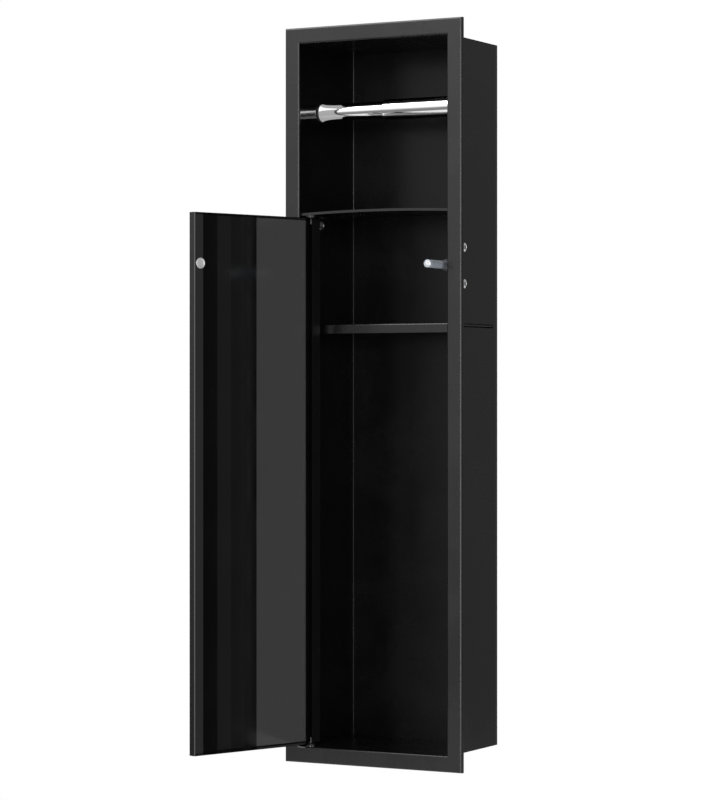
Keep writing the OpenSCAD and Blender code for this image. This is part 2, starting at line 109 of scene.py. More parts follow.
class Body(Enum):
    """Rigid bodies that the pieces ride on."""

    CABINET = "cabinet"
    DOOR = "door"
    PLUNGER = "plunger"
    ROLLER_OUTER = "roller_outer"
    ROLLER_INNER = "roller_inner"


class Work(Enum):
    """How a finer piece is made, which ends its name."""

    FORMED = "formed"
    PRESSED = "pressed"
    STAMPED = "stamped"
    TURNED = "turned"
    THREADED = "threaded"
    CHAMFERED = "chamfered"
    MOULDED = "moulded"
    PLATED = "plated"
    WOUND = "wound"


class Axis(Enum):
    """The axes, each with its place in a vector."""

    X = 0
    Y = 1
    Z = 2

    @property
    def direction(self) -> tuple[int, int, int]:
        """Unit vector along the axis."""
        return tuple(int(index == self.value) for index in range(3))


class Effect(Enum):
    """Shared shader groups."""

    ORANGE_PEEL = "Orange Peel"
    HANDLING_FILM = "Handling Film"
    DRAWN_GRAIN = "Drawn Grain"
    MOULDED_GRAIN = "Moulded Grain"


# ---------------------------------------------------------------------------
# Meshes
# ---------------------------------------------------------------------------


class Corner(NamedTuple):
    """A corner of a turned profile.

    Attributes:
        station: Distance along the axis.
        radius: Distance from the axis; 0 closes the solid on the axis.
        fillet: Radius of the rounding at this corner.
        flats: Distance across the flats of a hexagon that cuts the loop, or 0.
    """

    station: float
    radius: float
    fillet: float = 0.0
    flats: float = 0.0


def place_on(origin: Vector, direction: Sequence[float]) -> Matrix:
    """Gives the matrix that stands a piece drawn along +Z on a point.

    Args:
        origin: Where the piece's zero station goes.
        direction: Where the piece's +Z axis goes.

    Returns:
        The placing matrix.
    """
    turn = Vector(direction).to_track_quat("Z", "Y").to_matrix().to_4x4()
    return Matrix.Translation(origin) @ turn


def round_corners(corners: Sequence[Corner], steps: int = 5) -> list[Corner]:
    """Replaces each filleted corner of a profile by a short arc.

    Args:
        corners: The profile's corners in order; the profile closes on itself unless
            its first corner is on the axis.
        steps: Number of chords in each arc.

    Returns:
        The profile's loops, with no fillets left.
    """
    loops: list[Corner] = []
    for index, corner in enumerate(corners):
        if corner.fillet <= 0:
            loops.append(corner)
            continue
        here = Vector((corner.station, corner.radius))
        before = corners[index - 1]
        after = corners[(index + 1) % len(corners)]
        back = (Vector(before[:2]) - here).normalized()
        on = (Vector(after[:2]) - here).normalized()
        half = back.angle(on) / 2
        centre = here + (back + on).normalized() * corner.fillet / math.sin(half)
        start = here + back * corner.fillet / math.tan(half) - centre
        end = here + on * corner.fillet / math.tan(half) - centre
        for step in range(steps + 1):
            spoke = start.lerp(end, step / steps).normalized() * corner.fillet
            loops.append(Corner(*(centre + spoke), 0.0, corner.flats))
    return loops


@dataclass
class Draft:
    """A mesh under construction, made of turned, swept and cut shapes.

    Attributes:
        mesh: The growing geometry.
        crease_deg: Edges that bend more than this stay sharp.
    """

    mesh: bmesh.types.BMesh = field(default_factory=bmesh.new)
    crease_deg: float = 32.0

    def turn(self, corners: Sequence[Corner], place: Matrix, segments: int = 72) -> None:
        """Adds a solid of revolution.

        Args:
            corners: Its profile, closed on the axis at both ends or closed on itself.
            place: Where the solid goes; it is drawn along +Z.
            segments: Number of facets round the axis.
        """
        loops = [self._loop(corner, place, segments) for corner in round_corners(corners)]
        on_axis = corners[0].radius == 0
        pairs = list(zip(loops, loops[1:]))
        if not on_axis:
            pairs.append((loops[-1], loops[0]))
        for first, second in pairs:
            self._bridge(first, second, segments)

    def _loop(self, corner: Corner, place: Matrix, segments: int) -> list[Any]:
        """Adds the vertices of one loop, or the single one on the axis.

        Args:
            corner: The profile's corner that the loop goes through.
            place: Where the solid goes.
            segments: Number of facets round the axis.

        Returns:
            The loop's vertices in order.
        """
        if corner.radius == 0:
            return [self.mesh.verts.new(place @ Vector((0, 0, corner.station)))]
        ring = []
        for index in range(segments):
            angle = 2 * math.pi * index / segments
            radius = corner.radius
            if corner.flats:
                from_flat = math.fmod(angle, math.pi / 3) - math.pi / 6
                radius = min(radius, corner.flats / 2 / math.cos(from_flat))
            point = Vector((radius * math.cos(angle), radius * math.sin(angle), corner.station))
            ring.append(self.mesh.verts.new(place @ point))
        return ring

    def _bridge(self, first: list[Any], second: list[Any], segments: int) -> None:
        """Adds the faces between two loops, either of which may be one point.

        Args:
            first: The vertices of one loop.
            second: The vertices of the next one.
            segments: Number of facets between them.
        """
        for index in range(segments):
            after = (index + 1) % segments
            if len(first) == 1:
                self.mesh.faces.new((first[0], second[index], second[after]))
            elif len(second) == 1:
                self.mesh.faces.new((first[index], second[0], first[after]))
            else:
                self.mesh.faces.new((first[index], second[index], second[after], first[after]))

    def sweep(self, path: Sequence[Vector], radius: float, sides: int = 12) -> None:
        """Adds a round wire along a path, with flat ends.

        Args:
            path: The wire's centre line.
            radius: The wire's radius.
            sides: Number of facets round the wire.
        """
        side = Vector((0, 0, 1)).cross(path[1] - path[0]).normalized()
        rings = []
        for index, point in enumerate(path):
            ahead = path[min(index + 1, len(path) - 1)]
            behind = path[max(index - 1, 0)]
            along = (ahead - behind).normalized()
            side = (side - along * side.dot(along)).normalized()
            up = along.cross(side)
            rings.append([
                self.mesh.verts.new(point + radius * (math.cos(turn) * side + math.sin(turn) * up))
                for turn in (2 * math.pi * step / sides for step in range(sides))
            ])
        for first, second in zip(rings, rings[1:]):
            self._bridge(first, second, sides)
        self.mesh.faces.new(rings[0])
        self.mesh.faces.new(reversed(rings[-1]))

    def stack(self, outlines: Sequence[Sequence[Vector]]) -> None:
        """Adds a solid through outlines of equally many points, closed at both ends.

        Args:
            outlines: The outlines in order.
        """
        rings = [[self.mesh.verts.new(point) for point in outline] for outline in outlines]
        for first, second in zip(rings, rings[1:]):
            self._bridge(first, second, len(first))
        self.mesh.faces.new(reversed(rings[0]))
        self.mesh.faces.new(rings[-1])

    def slab(
        self, outline: Sequence[Vector], thickness: float, bevel: float, place: Matrix
    ) -> None:
        """Adds a flat plate with softened edges.

        Args:
            outline: Its outline in the XY plane.
            thickness: Its thickness along +Z.
            bevel: Width of the softened edges.
            place: Where the plate goes.
        """
        low, high = (
            [self.mesh.verts.new(place @ Vector((point.x, point.y, height))) for point in outline]
            for height in (0.0, thickness)
        )
        faces = [self.mesh.faces.new(reversed(low)), self.mesh.faces.new(high)]
        self._bridge(low, high, len(outline))
        edges = list({edge for face in faces for edge in face.edges})
        bmesh.ops.bevel(
            self.mesh, geom=edges, offset=bevel, segments=2, affect="EDGES", profile=0.5
        )

    def make(self, name: str) -> bpy.types.Object:
        """Turns the draft into an object in the scene.

        Args:
            name: The object's name.

        Returns:
            The new object, smooth shaded with its creases sharp.
        """
        bmesh.ops.recalc_face_normals(self.mesh, faces=self.mesh.faces)
        mesh = bpy.data.meshes.new(name)
        self.mesh.to_mesh(mesh)
        self.mesh.free()
        mesh.polygons.foreach_set("use_smooth", [True] * len(mesh.polygons))
        mesh.set_sharp_from_angle(angle=math.radians(self.crease_deg))
        piece = bpy.data.objects.new(name, mesh)
        bpy.context.scene.collection.objects.link(piece)
        return piece


# ---------------------------------------------------------------------------
# Shader groups and finishes
# ---------------------------------------------------------------------------


class Ramp(NamedTuple):
    """A smooth ramp from one range of numbers to another.

    Attributes:
        low: Where the ramp starts.
        high: Where it ends.
        start: What it gives at its start and before.
        end: What it gives at its end and beyond.
    """

    low: float
    high: float
    start: float = 0.0
    end: float = 1.0


class Wiring:
    """Adds nodes to one node tree and joins them."""

    def __init__(self, tree: bpy.types.NodeTree) -> None:
        """Starts on a tree.

        Args:
            tree: The node tree to work on.
        """
        self.tree = tree

    def add(
        self, kind: str, sockets: dict[str | int, Any] | None = None, **settings: Any
    ) -> bpy.types.Node:
        """Adds a node.

        Args:
            kind: The node's type without its ShaderNode prefix.
            sockets: Input sockets to fill, each with a value or an output to join.
            settings: Properties of the node.

        Returns:
            The new node.
        """
        node = self.tree.nodes.new("ShaderNode" + kind)
        for name, value in settings.items():
            setattr(node, name, value)
        for key, value in (sockets or {}).items():
            if isinstance(value, bpy.types.NodeSocket):
                self.tree.links.new(value, node.inputs[key])
            else:
                node.inputs[key].default_value = value
        return node

    def maths(self, operation: str, *values: Any) -> bpy.types.NodeSocket:
        """Adds a Math node and gives its result.

        Args:
            operation: The node's operation.
            values: Its inputs in order, as numbers or outputs.

        Returns:
            The node's output.
        """
        return self.add("Math", dict(enumerate(values)), operation=operation).outputs[0]

    def spread(self, value: Any, ramp: Ramp) -> bpy.types.NodeSocket:
        """Leads an output over a smooth ramp.

        Args:
            value: The output.
            ramp: The ramp.

        Returns:
            The mapped output.
        """
        sockets = dict(zip(("Value", "From Min", "From Max", "To Min", "To Max"), (value, *ramp)))
        return self.add("MapRange", sockets, interpolation_type="SMOOTHSTEP").outputs["Result"]

    def noise(self, place: Any, scale: Any, detail: float, **more: float) -> bpy.types.NodeSocket:
        """Adds a Noise Texture node and gives its value.

        Args:
            place: The coordinates that it reads.
            scale: Its scale, as a number or an output.
            detail: Its detail.
            more: Its other sockets.

        Returns:
            The node's value.
        """
        sockets = {"Vector": place, "Scale": scale, "Detail": detail, **more}
        return self.add("TexNoise", sockets).outputs["Fac"]


class EffectGroups:
    """The shader groups that several finishes share, each made when first asked for."""

    SOCKETS: ClassVar[dict[Effect, tuple[tuple[str, float], ...]]] = {
        Effect.ORANGE_PEEL: (("Scale", 900.0), ("Ripple", 0.35)),
        Effect.HANDLING_FILM: (("Scale", 14.0), ("Cover", 0.5)),
        Effect.DRAWN_GRAIN: (("Scale", 400.0), ("Across", 12.0)),
        Effect.MOULDED_GRAIN: (("Scale", 2200.0), ("Softness", 0.5)),
    }

    def __init__(self) -> None:
        """Starts with no group made."""
        self._made: dict[Effect, bpy.types.NodeTree] = {}

    def get(self, effect: Effect) -> bpy.types.NodeTree:
        """Gives a group, and makes it the first time.

        Args:
            effect: The group wanted.

        Returns:
            The group's node tree.
        """
        if effect not in self._made:
            self._made[effect] = self._make(effect)
        return self._made[effect]

    def _make(self, effect: Effect) -> bpy.types.NodeTree:
        """Builds one group from its sockets and its recipe.

        Args:
            effect: The group to build.

        Returns:
            The new node tree.
        """
        tree = bpy.data.node_groups.new(effect.value, "ShaderNodeTree")
        for name, default in self.SOCKETS[effect]:
            socket = tree.interface.new_socket(name, in_out="INPUT", socket_type="NodeSocketFloat")
            socket.default_value = default
        tree.interface.new_socket("Value", in_out="OUTPUT", socket_type="NodeSocketFloat")
        wiring = Wiring(tree)
        given = tree.nodes.new("NodeGroupInput")
        place = wiring.add("TexCoord").outputs["Object"]
        recipes: dict[Effect, Callable[..., bpy.types.NodeSocket]] = {
            Effect.ORANGE_PEEL: self._peel,
            Effect.HANDLING_FILM: self._film,
            Effect.DRAWN_GRAIN: self._grain,
            Effect.MOULDED_GRAIN: self._moulded,
        }
        value = recipes[effect](wiring, place, given.outputs[0], given.outputs[1])
        result = tree.nodes.new("NodeGroupOutput")
        tree.links.new(value, result.inputs["Value"])
        return tree

    @staticmethod
    def _peel(wiring: Wiring, place: Any, scale: Any, ripple: Any) -> bpy.types.NodeSocket:
        """Draws the flow texture of a baked coat: fine dimples on a slower ripple.

        Args:
            wiring: The group's tree.
            place: The coordinates.
            scale: Dimples in a metre.
            ripple: Weight of the slower ripple.

        Returns:
            The texture's height.
        """
        fine = wiring.noise(place, scale, 1.5, Roughness=0.4)
        slow = wiring.noise(place, wiring.maths("MULTIPLY", scale, 0.17), 1.0)
        return wiring.maths("MULTIPLY_ADD", slow, ripple, fine)

    @staticmethod
    def _film(wiring: Wiring, place: Any, scale: Any, cover: Any) -> bpy.types.NodeSocket:
        """Draws the uneven film from handling: broad clouds broken up by a finer noise.

        Args:
            wiring: The group's tree.
            place: The coordinates.
            scale: Clouds in a metre.
            cover: How much of the surface they cover.

        Returns:
            The film's mask.
        """
        clouds = wiring.noise(place, scale, 3.0, Distortion=0.6)
        specks = wiring.noise(place, wiring.maths("MULTIPLY", scale, 9.0), 2.0)
        mixed = wiring.maths("MULTIPLY_ADD", specks, 0.25, clouds)
        raised = wiring.maths("SUBTRACT", wiring.maths("ADD", mixed, cover), 0.625)
        return wiring.spread(raised, Ramp(0.25, 0.75))

    @staticmethod
    def _grain(wiring: Wiring, place: Any, scale: Any, across: Any) -> bpy.types.NodeSocket:
        """Draws fine lines along the depth and the width, as drawing and plating leave them.

        Args:
            wiring: The group's tree.
            place: The coordinates.
            scale: Lines in a metre, before they are packed closer.
            across: How much closer they are packed across their length.

        Returns:
            The lines' mask.
        """
        lengths = wiring.add("CombineXYZ", {"X": 1.0, "Y": 1.0, "Z": across}).outputs["Vector"]
        drawn = wiring.add("VectorMath", {0: place, 1: lengths}, operation="MULTIPLY")
        lines = wiring.noise(drawn.outputs["Vector"], scale, 4.0, Roughness=0.6)
        return wiring.spread(lines, Ramp(0.3, 0.7))

    @staticmethod
    def _moulded(wiring: Wiring, place: Any, scale: Any, softness: Any) -> bpy.types.NodeSocket:
        """Draws the spark-eroded texture of a mould: soft rounded cells.

        Args:
            wiring: The group's tree.
            place: The coordinates.
            scale: Cells in a metre.
            softness: How far the cells melt into each other.

        Returns:
            The texture's height.
        """
        sockets = {"Vector": place, "Scale": scale, "Smoothness": softness}
        cells = wiring.add("TexVoronoi", sockets, feature="SMOOTH_F1")
        return wiring.spread(cells.outputs["Distance"], Ramp(0.1, 0.8))


@dataclass(frozen=True)
class Finish:
    """A plain finish; its kinds add their own effects.

    Attributes:
        name: Name of the material.
        slot: The record's slot that it belongs to; not used.
        colour: Its darker base colour.
        colour_far: Its lighter base colour, under the film.
        gloss: Its lowest and highest roughness.
        metallic: 1 for bare metal.
        film_scale: Clouds of its handling film in a metre.
        film_cover: How much of the surface the film covers.
        relief: Height of its surface texture.
        texture_scale: Cells or lines of its surface texture in a metre.
        texture_shape: Second input of its texture's group.
    """

    name: str
    slot: Slot
    colour: Colour
    colour_far: Colour
    gloss: tuple[float, float]
    metallic: float = 0.0
    film_scale: float = 14.0
    film_cover: float = 0.5
    relief: float = 0.00002
    texture_scale: float = 900.0
    texture_shape: float = 0.35
    effect: ClassVar[Effect] = Effect.ORANGE_PEEL

    def build(self, groups: EffectGroups) -> bpy.types.Material:
        """Builds the material.

        Args:
            groups: The shared shader groups.

        Returns:
            The new material.
        """
        material = bpy.data.materials.new(self.name)
        material.use_nodes = True
        wiring = Wiring(material.node_tree)
        shader = material.node_tree.nodes["Principled BSDF"]
        shader.inputs["Metallic"].default_value = self.metallic
        cloudy, cells = groups.get(Effect.HANDLING_FILM), groups.get(self.effect)
        film = self._place(wiring, cloudy, self.film_scale, self.film_cover)
        texture = self._place(wiring, cells, self.texture_scale, self.texture_shape)
        colours = {0: film, 6: (*self.colour, 1.0), 7: (*self.colour_far, 1.0)}
        blend = wiring.add("Mix", colours, data_type="RGBA")
        bump = wiring.add("Bump", {"Height": texture, "Strength": 1.0, "Distance": self.relief})
        for socket, source in (
            ("Base Color", blend.outputs[2]),
            ("Roughness", self._roughness(wiring, film, texture)),
            ("Normal", bump.outputs["Normal"]),
        ):
            material.node_tree.links.new(source, shader.inputs[socket])
        return material

    def _roughness(self, wiring: Wiring, film: Any, _texture: Any) -> bpy.types.NodeSocket:
        """Gives a roughness that follows the film."""
        return wiring.spread(film, Ramp(0.0, 1.0, *self.gloss))

    @staticmethod
    def _place(
        wiring: Wiring, group: bpy.types.NodeTree, first: float, second: float
    ) -> bpy.types.NodeSocket:
        """Places a shared group in the material, with its own values.

        Args:
            wiring: The material's tree.
            group: The shared group.
            first: Value of the group's first input.
            second: Value of its second input.

        Returns:
            The group's output.
        """
        node = wiring.add("Group", node_tree=group)
        node.inputs[0].default_value = first
        node.inputs[1].default_value = second
        return node.outputs["Value"]


@dataclass(frozen=True)
class CoatedFinish(Finish):
    """A baked coat on sheet steel, with its orange peel."""


@dataclass(frozen=True)
class RecessFinish(CoatedFinish):
    """A baked coat that was sprayed thin where it faces out of the recess.

    Attributes:
        level: Strength of its own reflection, under the coat.
        coat_gloss: Roughness of the coat.
        coat_weight: Weight of the coat where it is full.
        coat_turn: The normal's Y between which the coat comes in.
    """

    level: float = 0.20
    coat_gloss: float = 0.26
    coat_weight: float = 0.62
    coat_turn: tuple[float, float] = (-0.7, -0.5)

    def build(self, groups: EffectGroups) -> bpy.types.Material:
        """Builds the material, with no coat on the faces that look towards -Y.

        Args:
            groups: The shared shader groups.

        Returns:
            The new material.
        """
        material = super().build(groups)
        wiring = Wiring(material.node_tree)
        shader = material.node_tree.nodes["Principled BSDF"]
        shader.inputs["Specular IOR Level"].default_value = self.level
        shader.inputs["Coat Roughness"].default_value = self.coat_gloss
        normal = wiring.add("TexCoord").outputs["Normal"]
        ahead = wiring.add("SeparateXYZ", {0: normal}).outputs["Y"]
        full = wiring.spread(ahead, Ramp(*self.coat_turn, 0.0, self.coat_weight))
        material.node_tree.links.new(full, shader.inputs["Coat Weight"])
        return material


@dataclass(frozen=True)
class PlatedFinish(Finish):
    """Bare or plated metal whose grain shows in its gloss."""

    metallic: float = 1.0
    effect: ClassVar[Effect] = Effect.DRAWN_GRAIN

    def _roughness(self, wiring: Wiring, film: Any, texture: Any) -> bpy.types.NodeSocket:
        """Gives a roughness that follows the film and the grain together."""
        both = wiring.maths("MULTIPLY_ADD", texture, 0.5, wiring.maths("MULTIPLY", film, 0.5))
        return wiring.spread(both, Ramp(0.0, 1.0, *self.gloss))


@dataclass(frozen=True)
class MouldedFinish(Finish):
    """Moulded plastic or rubber with the texture of its mould."""

    effect: ClassVar[Effect] = Effect.MOULDED_GRAIN


SATIN_COAT = CoatedFinish(
    name="satin_black_coat", slot=Slot.COATED_STEEL,
    colour=(0.0016, 0.0016, 0.0018), colour_far=(0.0024, 0.0024, 0.0026),
    gloss=(0.24, 0.29), relief=0.000006, texture_scale=700.0,
)
RECESS_COAT = RecessFinish(
    name="recess_black_coat", slot=Slot.COATED_STEEL,
    colour=(0.0016, 0.0016, 0.0018), colour_far=(0.0024, 0.0024, 0.0026),
    gloss=(0.24, 0.29), relief=0.000006, texture_scale=700.0,
)
GLOSS_COAT = CoatedFinish(
    name="gloss_black_coat", slot=Slot.COATED_STEEL,
    colour=(0.0013, 0.0013, 0.0014), colour_far=(0.0019, 0.0019, 0.0021),
    gloss=(0.10, 0.14), relief=0.000004, texture_scale=500.0,
)
ZINC_PLATE = PlatedFinish(
    name="bright_zinc_plate", slot=Slot.ZINC_STEEL,
    colour=(0.60, 0.61, 0.62), colour_far=(0.66, 0.67, 0.68),
    gloss=(0.22, 0.36), relief=0.000003, texture_scale=500.0, texture_shape=6.0, film_scale=60.0,
)
STRIKE_PLATE = PlatedFinish(
    name="dull_strike_plate", slot=Slot.STRIKE_STEEL,
    colour=(0.66, 0.66, 0.67), colour_far=(0.70, 0.70, 0.71),
    gloss=(0.30, 0.42), relief=0.000004, texture_scale=420.0, texture_shape=5.0, film_scale=90.0,
)
# Near-black colour for the plated pivot pins and their clip: painted shade, standing in for the
# shadow round the door's pivots.
SHADE_DARKENED_PLATE = PlatedFinish(
    name="steel_darkened_as_painted_shade", slot=Slot.DARK_STEEL,
    colour=(0.055, 0.055, 0.058), colour_far=(0.075, 0.075, 0.078),
    gloss=(0.38, 0.50), relief=0.000003, texture_scale=600.0, texture_shape=5.0, film_scale=80.0,
)
SPRING_WIRE = PlatedFinish(
    name="drawn_spring_wire", slot=Slot.SPRING_STEEL,
    colour=(0.42, 0.42, 0.43), colour_far=(0.48, 0.48, 0.49),
    gloss=(0.24, 0.38), relief=0.000002, texture_scale=900.0, texture_shape=3.0, film_scale=80.0,
)
CHROME_PLATE = PlatedFinish(
    name="polished_chrome_plate", slot=Slot.CHROME,
    colour=(0.80, 0.80, 0.81), colour_far=(0.84, 0.84, 0.85),
    gloss=(0.05, 0.10), relief=0.0000006, texture_scale=260.0, texture_shape=4.0, film_scale=30.0,
)
MAGNET_PLATE = PlatedFinish(
    name="nickel_magnet_plate", slot=Slot.MAGNET,
    colour=(0.72, 0.72, 0.73), colour_far=(0.78, 0.78, 0.79),
    gloss=(0.16, 0.26), relief=0.000002, texture_scale=700.0, texture_shape=2.0, film_scale=120.0,
)
RUBBER = MouldedFinish(
    name="matte_black_rubber", slot=Slot.RUBBER,
    colour=(0.017, 0.017, 0.017), colour_far=(0.024, 0.024, 0.024),
    gloss=(0.62, 0.74), relief=0.00003, texture_scale=1800.0, texture_shape=0.7, film_scale=50.0,
)
NYLON = MouldedFinish(
    name="moulded_black_nylon", slot=Slot.NYLON,
    colour=(0.009, 0.009, 0.010), colour_far=(0.013, 0.013, 0.014),
    gloss=(0.50, 0.60), relief=0.000006, texture_scale=1500.0, texture_shape=0.8, film_scale=120.0,
)
LATCH_BLACK = MouldedFinish(
    name="moulded_black_plastic", slot=Slot.LATCH_BLACK,
    colour=(0.009, 0.009, 0.010), colour_far=(0.013, 0.013, 0.014),
    gloss=(0.46, 0.58), relief=0.00002, texture_scale=2600.0, texture_shape=0.5, film_scale=40.0,
)
LATCH_GREY = MouldedFinish(
    name="moulded_grey_plastic", slot=Slot.LATCH_GREY,
    colour=(0.29, 0.32, 0.36), colour_far=(0.33, 0.36, 0.40),
    gloss=(0.34, 0.44), relief=0.000006, texture_scale=2000.0, texture_shape=0.8, film_scale=60.0,
)


class Paintbox:
    """Gives each finish's material, and builds it the first time."""

    def __init__(self) -> None:
        """Starts with empty pots and no groups."""
        self._groups = EffectGroups()
        self._mixed: dict[str, bpy.types.Material] = {}

    def material(self, finish: Finish) -> bpy.types.Material:
        """Gives a finish's material.

        Args:
            finish: The finish wanted.

        Returns:
            Its material, the same one each time.
        """
        if finish.name not in self._mixed:
            self._mixed[finish.name] = finish.build(self._groups)
        return self._mixed[finish.name]


# ---------------------------------------------------------------------------
# Lights
# ---------------------------------------------------------------------------


def add_area_light(
    name: str, spot: Vector, direction: Vector, size: tuple[float, float], radiance: float
) -> bpy.types.Object:
    """Adds a rectangular soft light of a given brightness that the camera doesn't see.

    Args:
        name: The light's name.
        spot: Its middle.
        direction: Where it shines.
        size: Its width and height.
        radiance: Its brightness, where 1 is a white wall in plain light.

    Returns:
        The light's object.
    """
    data = bpy.data.lights.new(name, "AREA")
    data.shape = "RECTANGLE"
    data.size, data.size_y = size
    data.energy = radiance * math.pi * size[0] * size[1]
    lamp = bpy.data.objects.new(name, data)
    upright = direction.to_track_quat("-Z", "Y")
    lamp.matrix_world = Matrix.Translation(spot) @ upright.to_matrix().to_4x4()
    lamp.visible_camera = False
    bpy.context.scene.collection.objects.link(lamp)
    return lamp


def shine_only_on(lamp: bpy.types.Object, pieces: bpy.types.Collection) -> None:
    """Lets a light shine on some pieces alone, and lets those alone block it.

    Args:
        lamp: The light.
        pieces: The pieces.
    """
    lamp.light_linking.receiver_collection = pieces
    lamp.light_linking.blocker_collection = pieces


@dataclass(frozen=True)
class Softbox:
    """A soft box that faces a point.

    Attributes:
        name: Its name.
        spot: Its middle.
        aim: The point that it faces.
        size: Its width and height.
        radiance: Its brightness.
    """

    name: str
    spot: tuple[float, float, float]
    aim: tuple[float, float, float]
    size: tuple[float, float]
    radiance: float

    def hang(self) -> bpy.types.Object:
        """Hangs the box in the scene and gives its light."""
        spot = Vector(self.spot)
        return add_area_light(self.name, spot, Vector(self.aim) - spot, self.size, self.radiance)


@dataclass(frozen=True)
class Glint:
    """A soft light beside the left wall that the roller's small tube mirrors.

    Attributes:
        rise_deg: Direction from the roller's axis to it, up from straight ahead.
        near: Distance from the axis to its inner edge.
        far: Distance from the axis to its outer edge.
        width: Its width across that direction.
        radiance: How bright it is.
    """

    rise_deg: float
    near: float
    far: float
    width: float
    radiance: float


# ---------------------------------------------------------------------------
# Screws and springs
# ---------------------------------------------------------------------------


@dataclass(frozen=True)
class SocketScrew:
    """A dished washer-head screw with a hexagon socket and a rolled thread.

    Attributes:
        head_radius: Radius of the head's rim.
        head_height: Height of the head.
        rim_height: Where the head's rim ends, as a share of its height.
        crown: Radius of its highest ring, as a share of its rim's.
        lip: Radius at the foot of the lip inside that ring, as a share of its rim's.
        lip_depth: Depth of that lip.
        dish_depth: Depth of the dish in the head.
        socket_flats: Width across the socket's flats.
        socket_depth: Depth of the socket's flats, below the dish.
        drill_depth: Depth of the cone that the drill leaves below them.
        shank_radius: Outside radius of the thread.
        pitch: Pitch of the thread.
        thread_depth: Depth of the thread.
        flank: Where the thread's crest starts, as a share of its pitch.
        crest: Where it ends.
    """

    head_radius: float = 5.5 * MM
    head_height: float = 1.8 * MM
    rim_height: float = 0.6
    crown: float = 0.93
    lip: float = 0.84
    lip_depth: float = 0.5 * MM
    dish_depth: float = 1.15 * MM
    socket_flats: float = 4.4 * MM
    socket_depth: float = 0.3 * MM
    drill_depth: float = 1.2 * MM
    shank_radius: float = 2.0 * MM
    pitch: float = 0.7 * MM
    thread_depth: float = 0.3 * MM
    flank: float = 0.45
    crest: float = 0.6

    def draw(self, draft: Draft, place: Matrix, shank_length: float) -> None:
        """Adds a screw to a draft.

        Args:
            draft: The mesh to add it to.
            place: Where the underside of its head sits, with the head towards +Z.
            shank_length: Length of its shank below the head.
        """
        top, rim, flats = self.head_height, self.head_radius, self.socket_flats
        dish = top - self.dish_depth
        floor = dish - self.socket_depth
        point = flats / math.sqrt(3)
        draft.turn([
            Corner(-shank_length, 0), *self._thread(shank_length),
            Corner(0, self.shank_radius), Corner(0, rim, 0.12 * MM),
            Corner(top * self.rim_height, rim, 0.3 * MM),
            Corner(top, rim * self.crown, 0.2 * MM),
            Corner(top - self.lip_depth, rim * self.lip, 0.1 * MM),
            Corner(dish, point + 0.15 * MM), Corner(dish - 0.12 * MM, point, 0, flats),
            Corner(floor, point, 0, flats), Corner(floor - self.drill_depth, 0),
        ], place)

    def _thread(self, shank_length: float) -> list[Corner]:
        """Gives the rings of the thread.

        Args:
            shank_length: Length of the shank below the head.

        Returns:
            The rings, from the shank's tip up to its head.
        """
        low = self.shank_radius - self.thread_depth
        count = int((shank_length - 0.5 * MM) / self.pitch)
        rings = [Corner(-shank_length, low - 0.2 * MM)]
        for index in range(count):
            base = -shank_length + 0.3 * MM + index * self.pitch
            rings.append(Corner(base, low))
            rings.append(Corner(base + self.pitch * self.flank, self.shank_radius))
            rings.append(Corner(base + self.pitch * self.crest, self.shank_radius))
        return rings


@dataclass(frozen=True)
class Coil:
    """A wound compression spring whose first and last turns are closed.

    Attributes:
        node: Its CAD node.
        body: The body that it rides on.
        axis: The axis that it lies along; not used.
        joint: The joint that it shortens with; not used.
        travel: How far it shortens; not used.
        turns: Its turns.
        wire_radius: Radius of its wire.
        gap: Gap between it and the bore round it.
        closing: Rise of a closed turn for each radius of its wire.
        steps: Chords in each turn.
    """

    node: str
    body: Body
    axis: Axis
    joint: str
    travel: float
    turns: int
    wire_radius: float
    gap: float = 0.35 * MM
    closing: float = 2.2
    steps: int = 28

    def path(self, place: Matrix, length: float, bore: float) -> list[Vector]:
        """Gives its centre line.

        Args:
            place: Where its start goes; it is drawn along +Z.
            length: Its length over the wire.
            bore: Radius of the bore round it.

        Returns:
            Points along the wire.
        """
        radius = bore - self.gap - self.wire_radius
        closed = self.closing * self.wire_radius
        rise = length - 2 * self.wire_radius
        open_turns = self.turns - 2
        pitch = (rise - 2 * closed) / open_turns
        points = []
        for index in range(self.turns * self.steps + 1):
            turn = index / self.steps
            height = self.wire_radius + closed * min(turn, 1.0)
            height += pitch * min(max(turn - 1.0, 0.0), open_turns)
            height += closed * max(turn - 1.0 - open_turns, 0.0)
            angle = 2 * math.pi * turn
            point = Vector((radius * math.cos(angle), radius * math.sin(angle), height))
            points.append(place @ point)
        return points


# ---------------------------------------------------------------------------
# Sub-assemblies
# ---------------------------------------------------------------------------


class Fitting(NamedTuple):
    """A finer piece that stands for one CAD node.

    Attributes:
        node: The CAD node.
        work: How the piece is made.
        body: The body that it rides on.
        finish: Its finish.
    """

    node: str
    work: Work
    body: Body
    finish: Finish


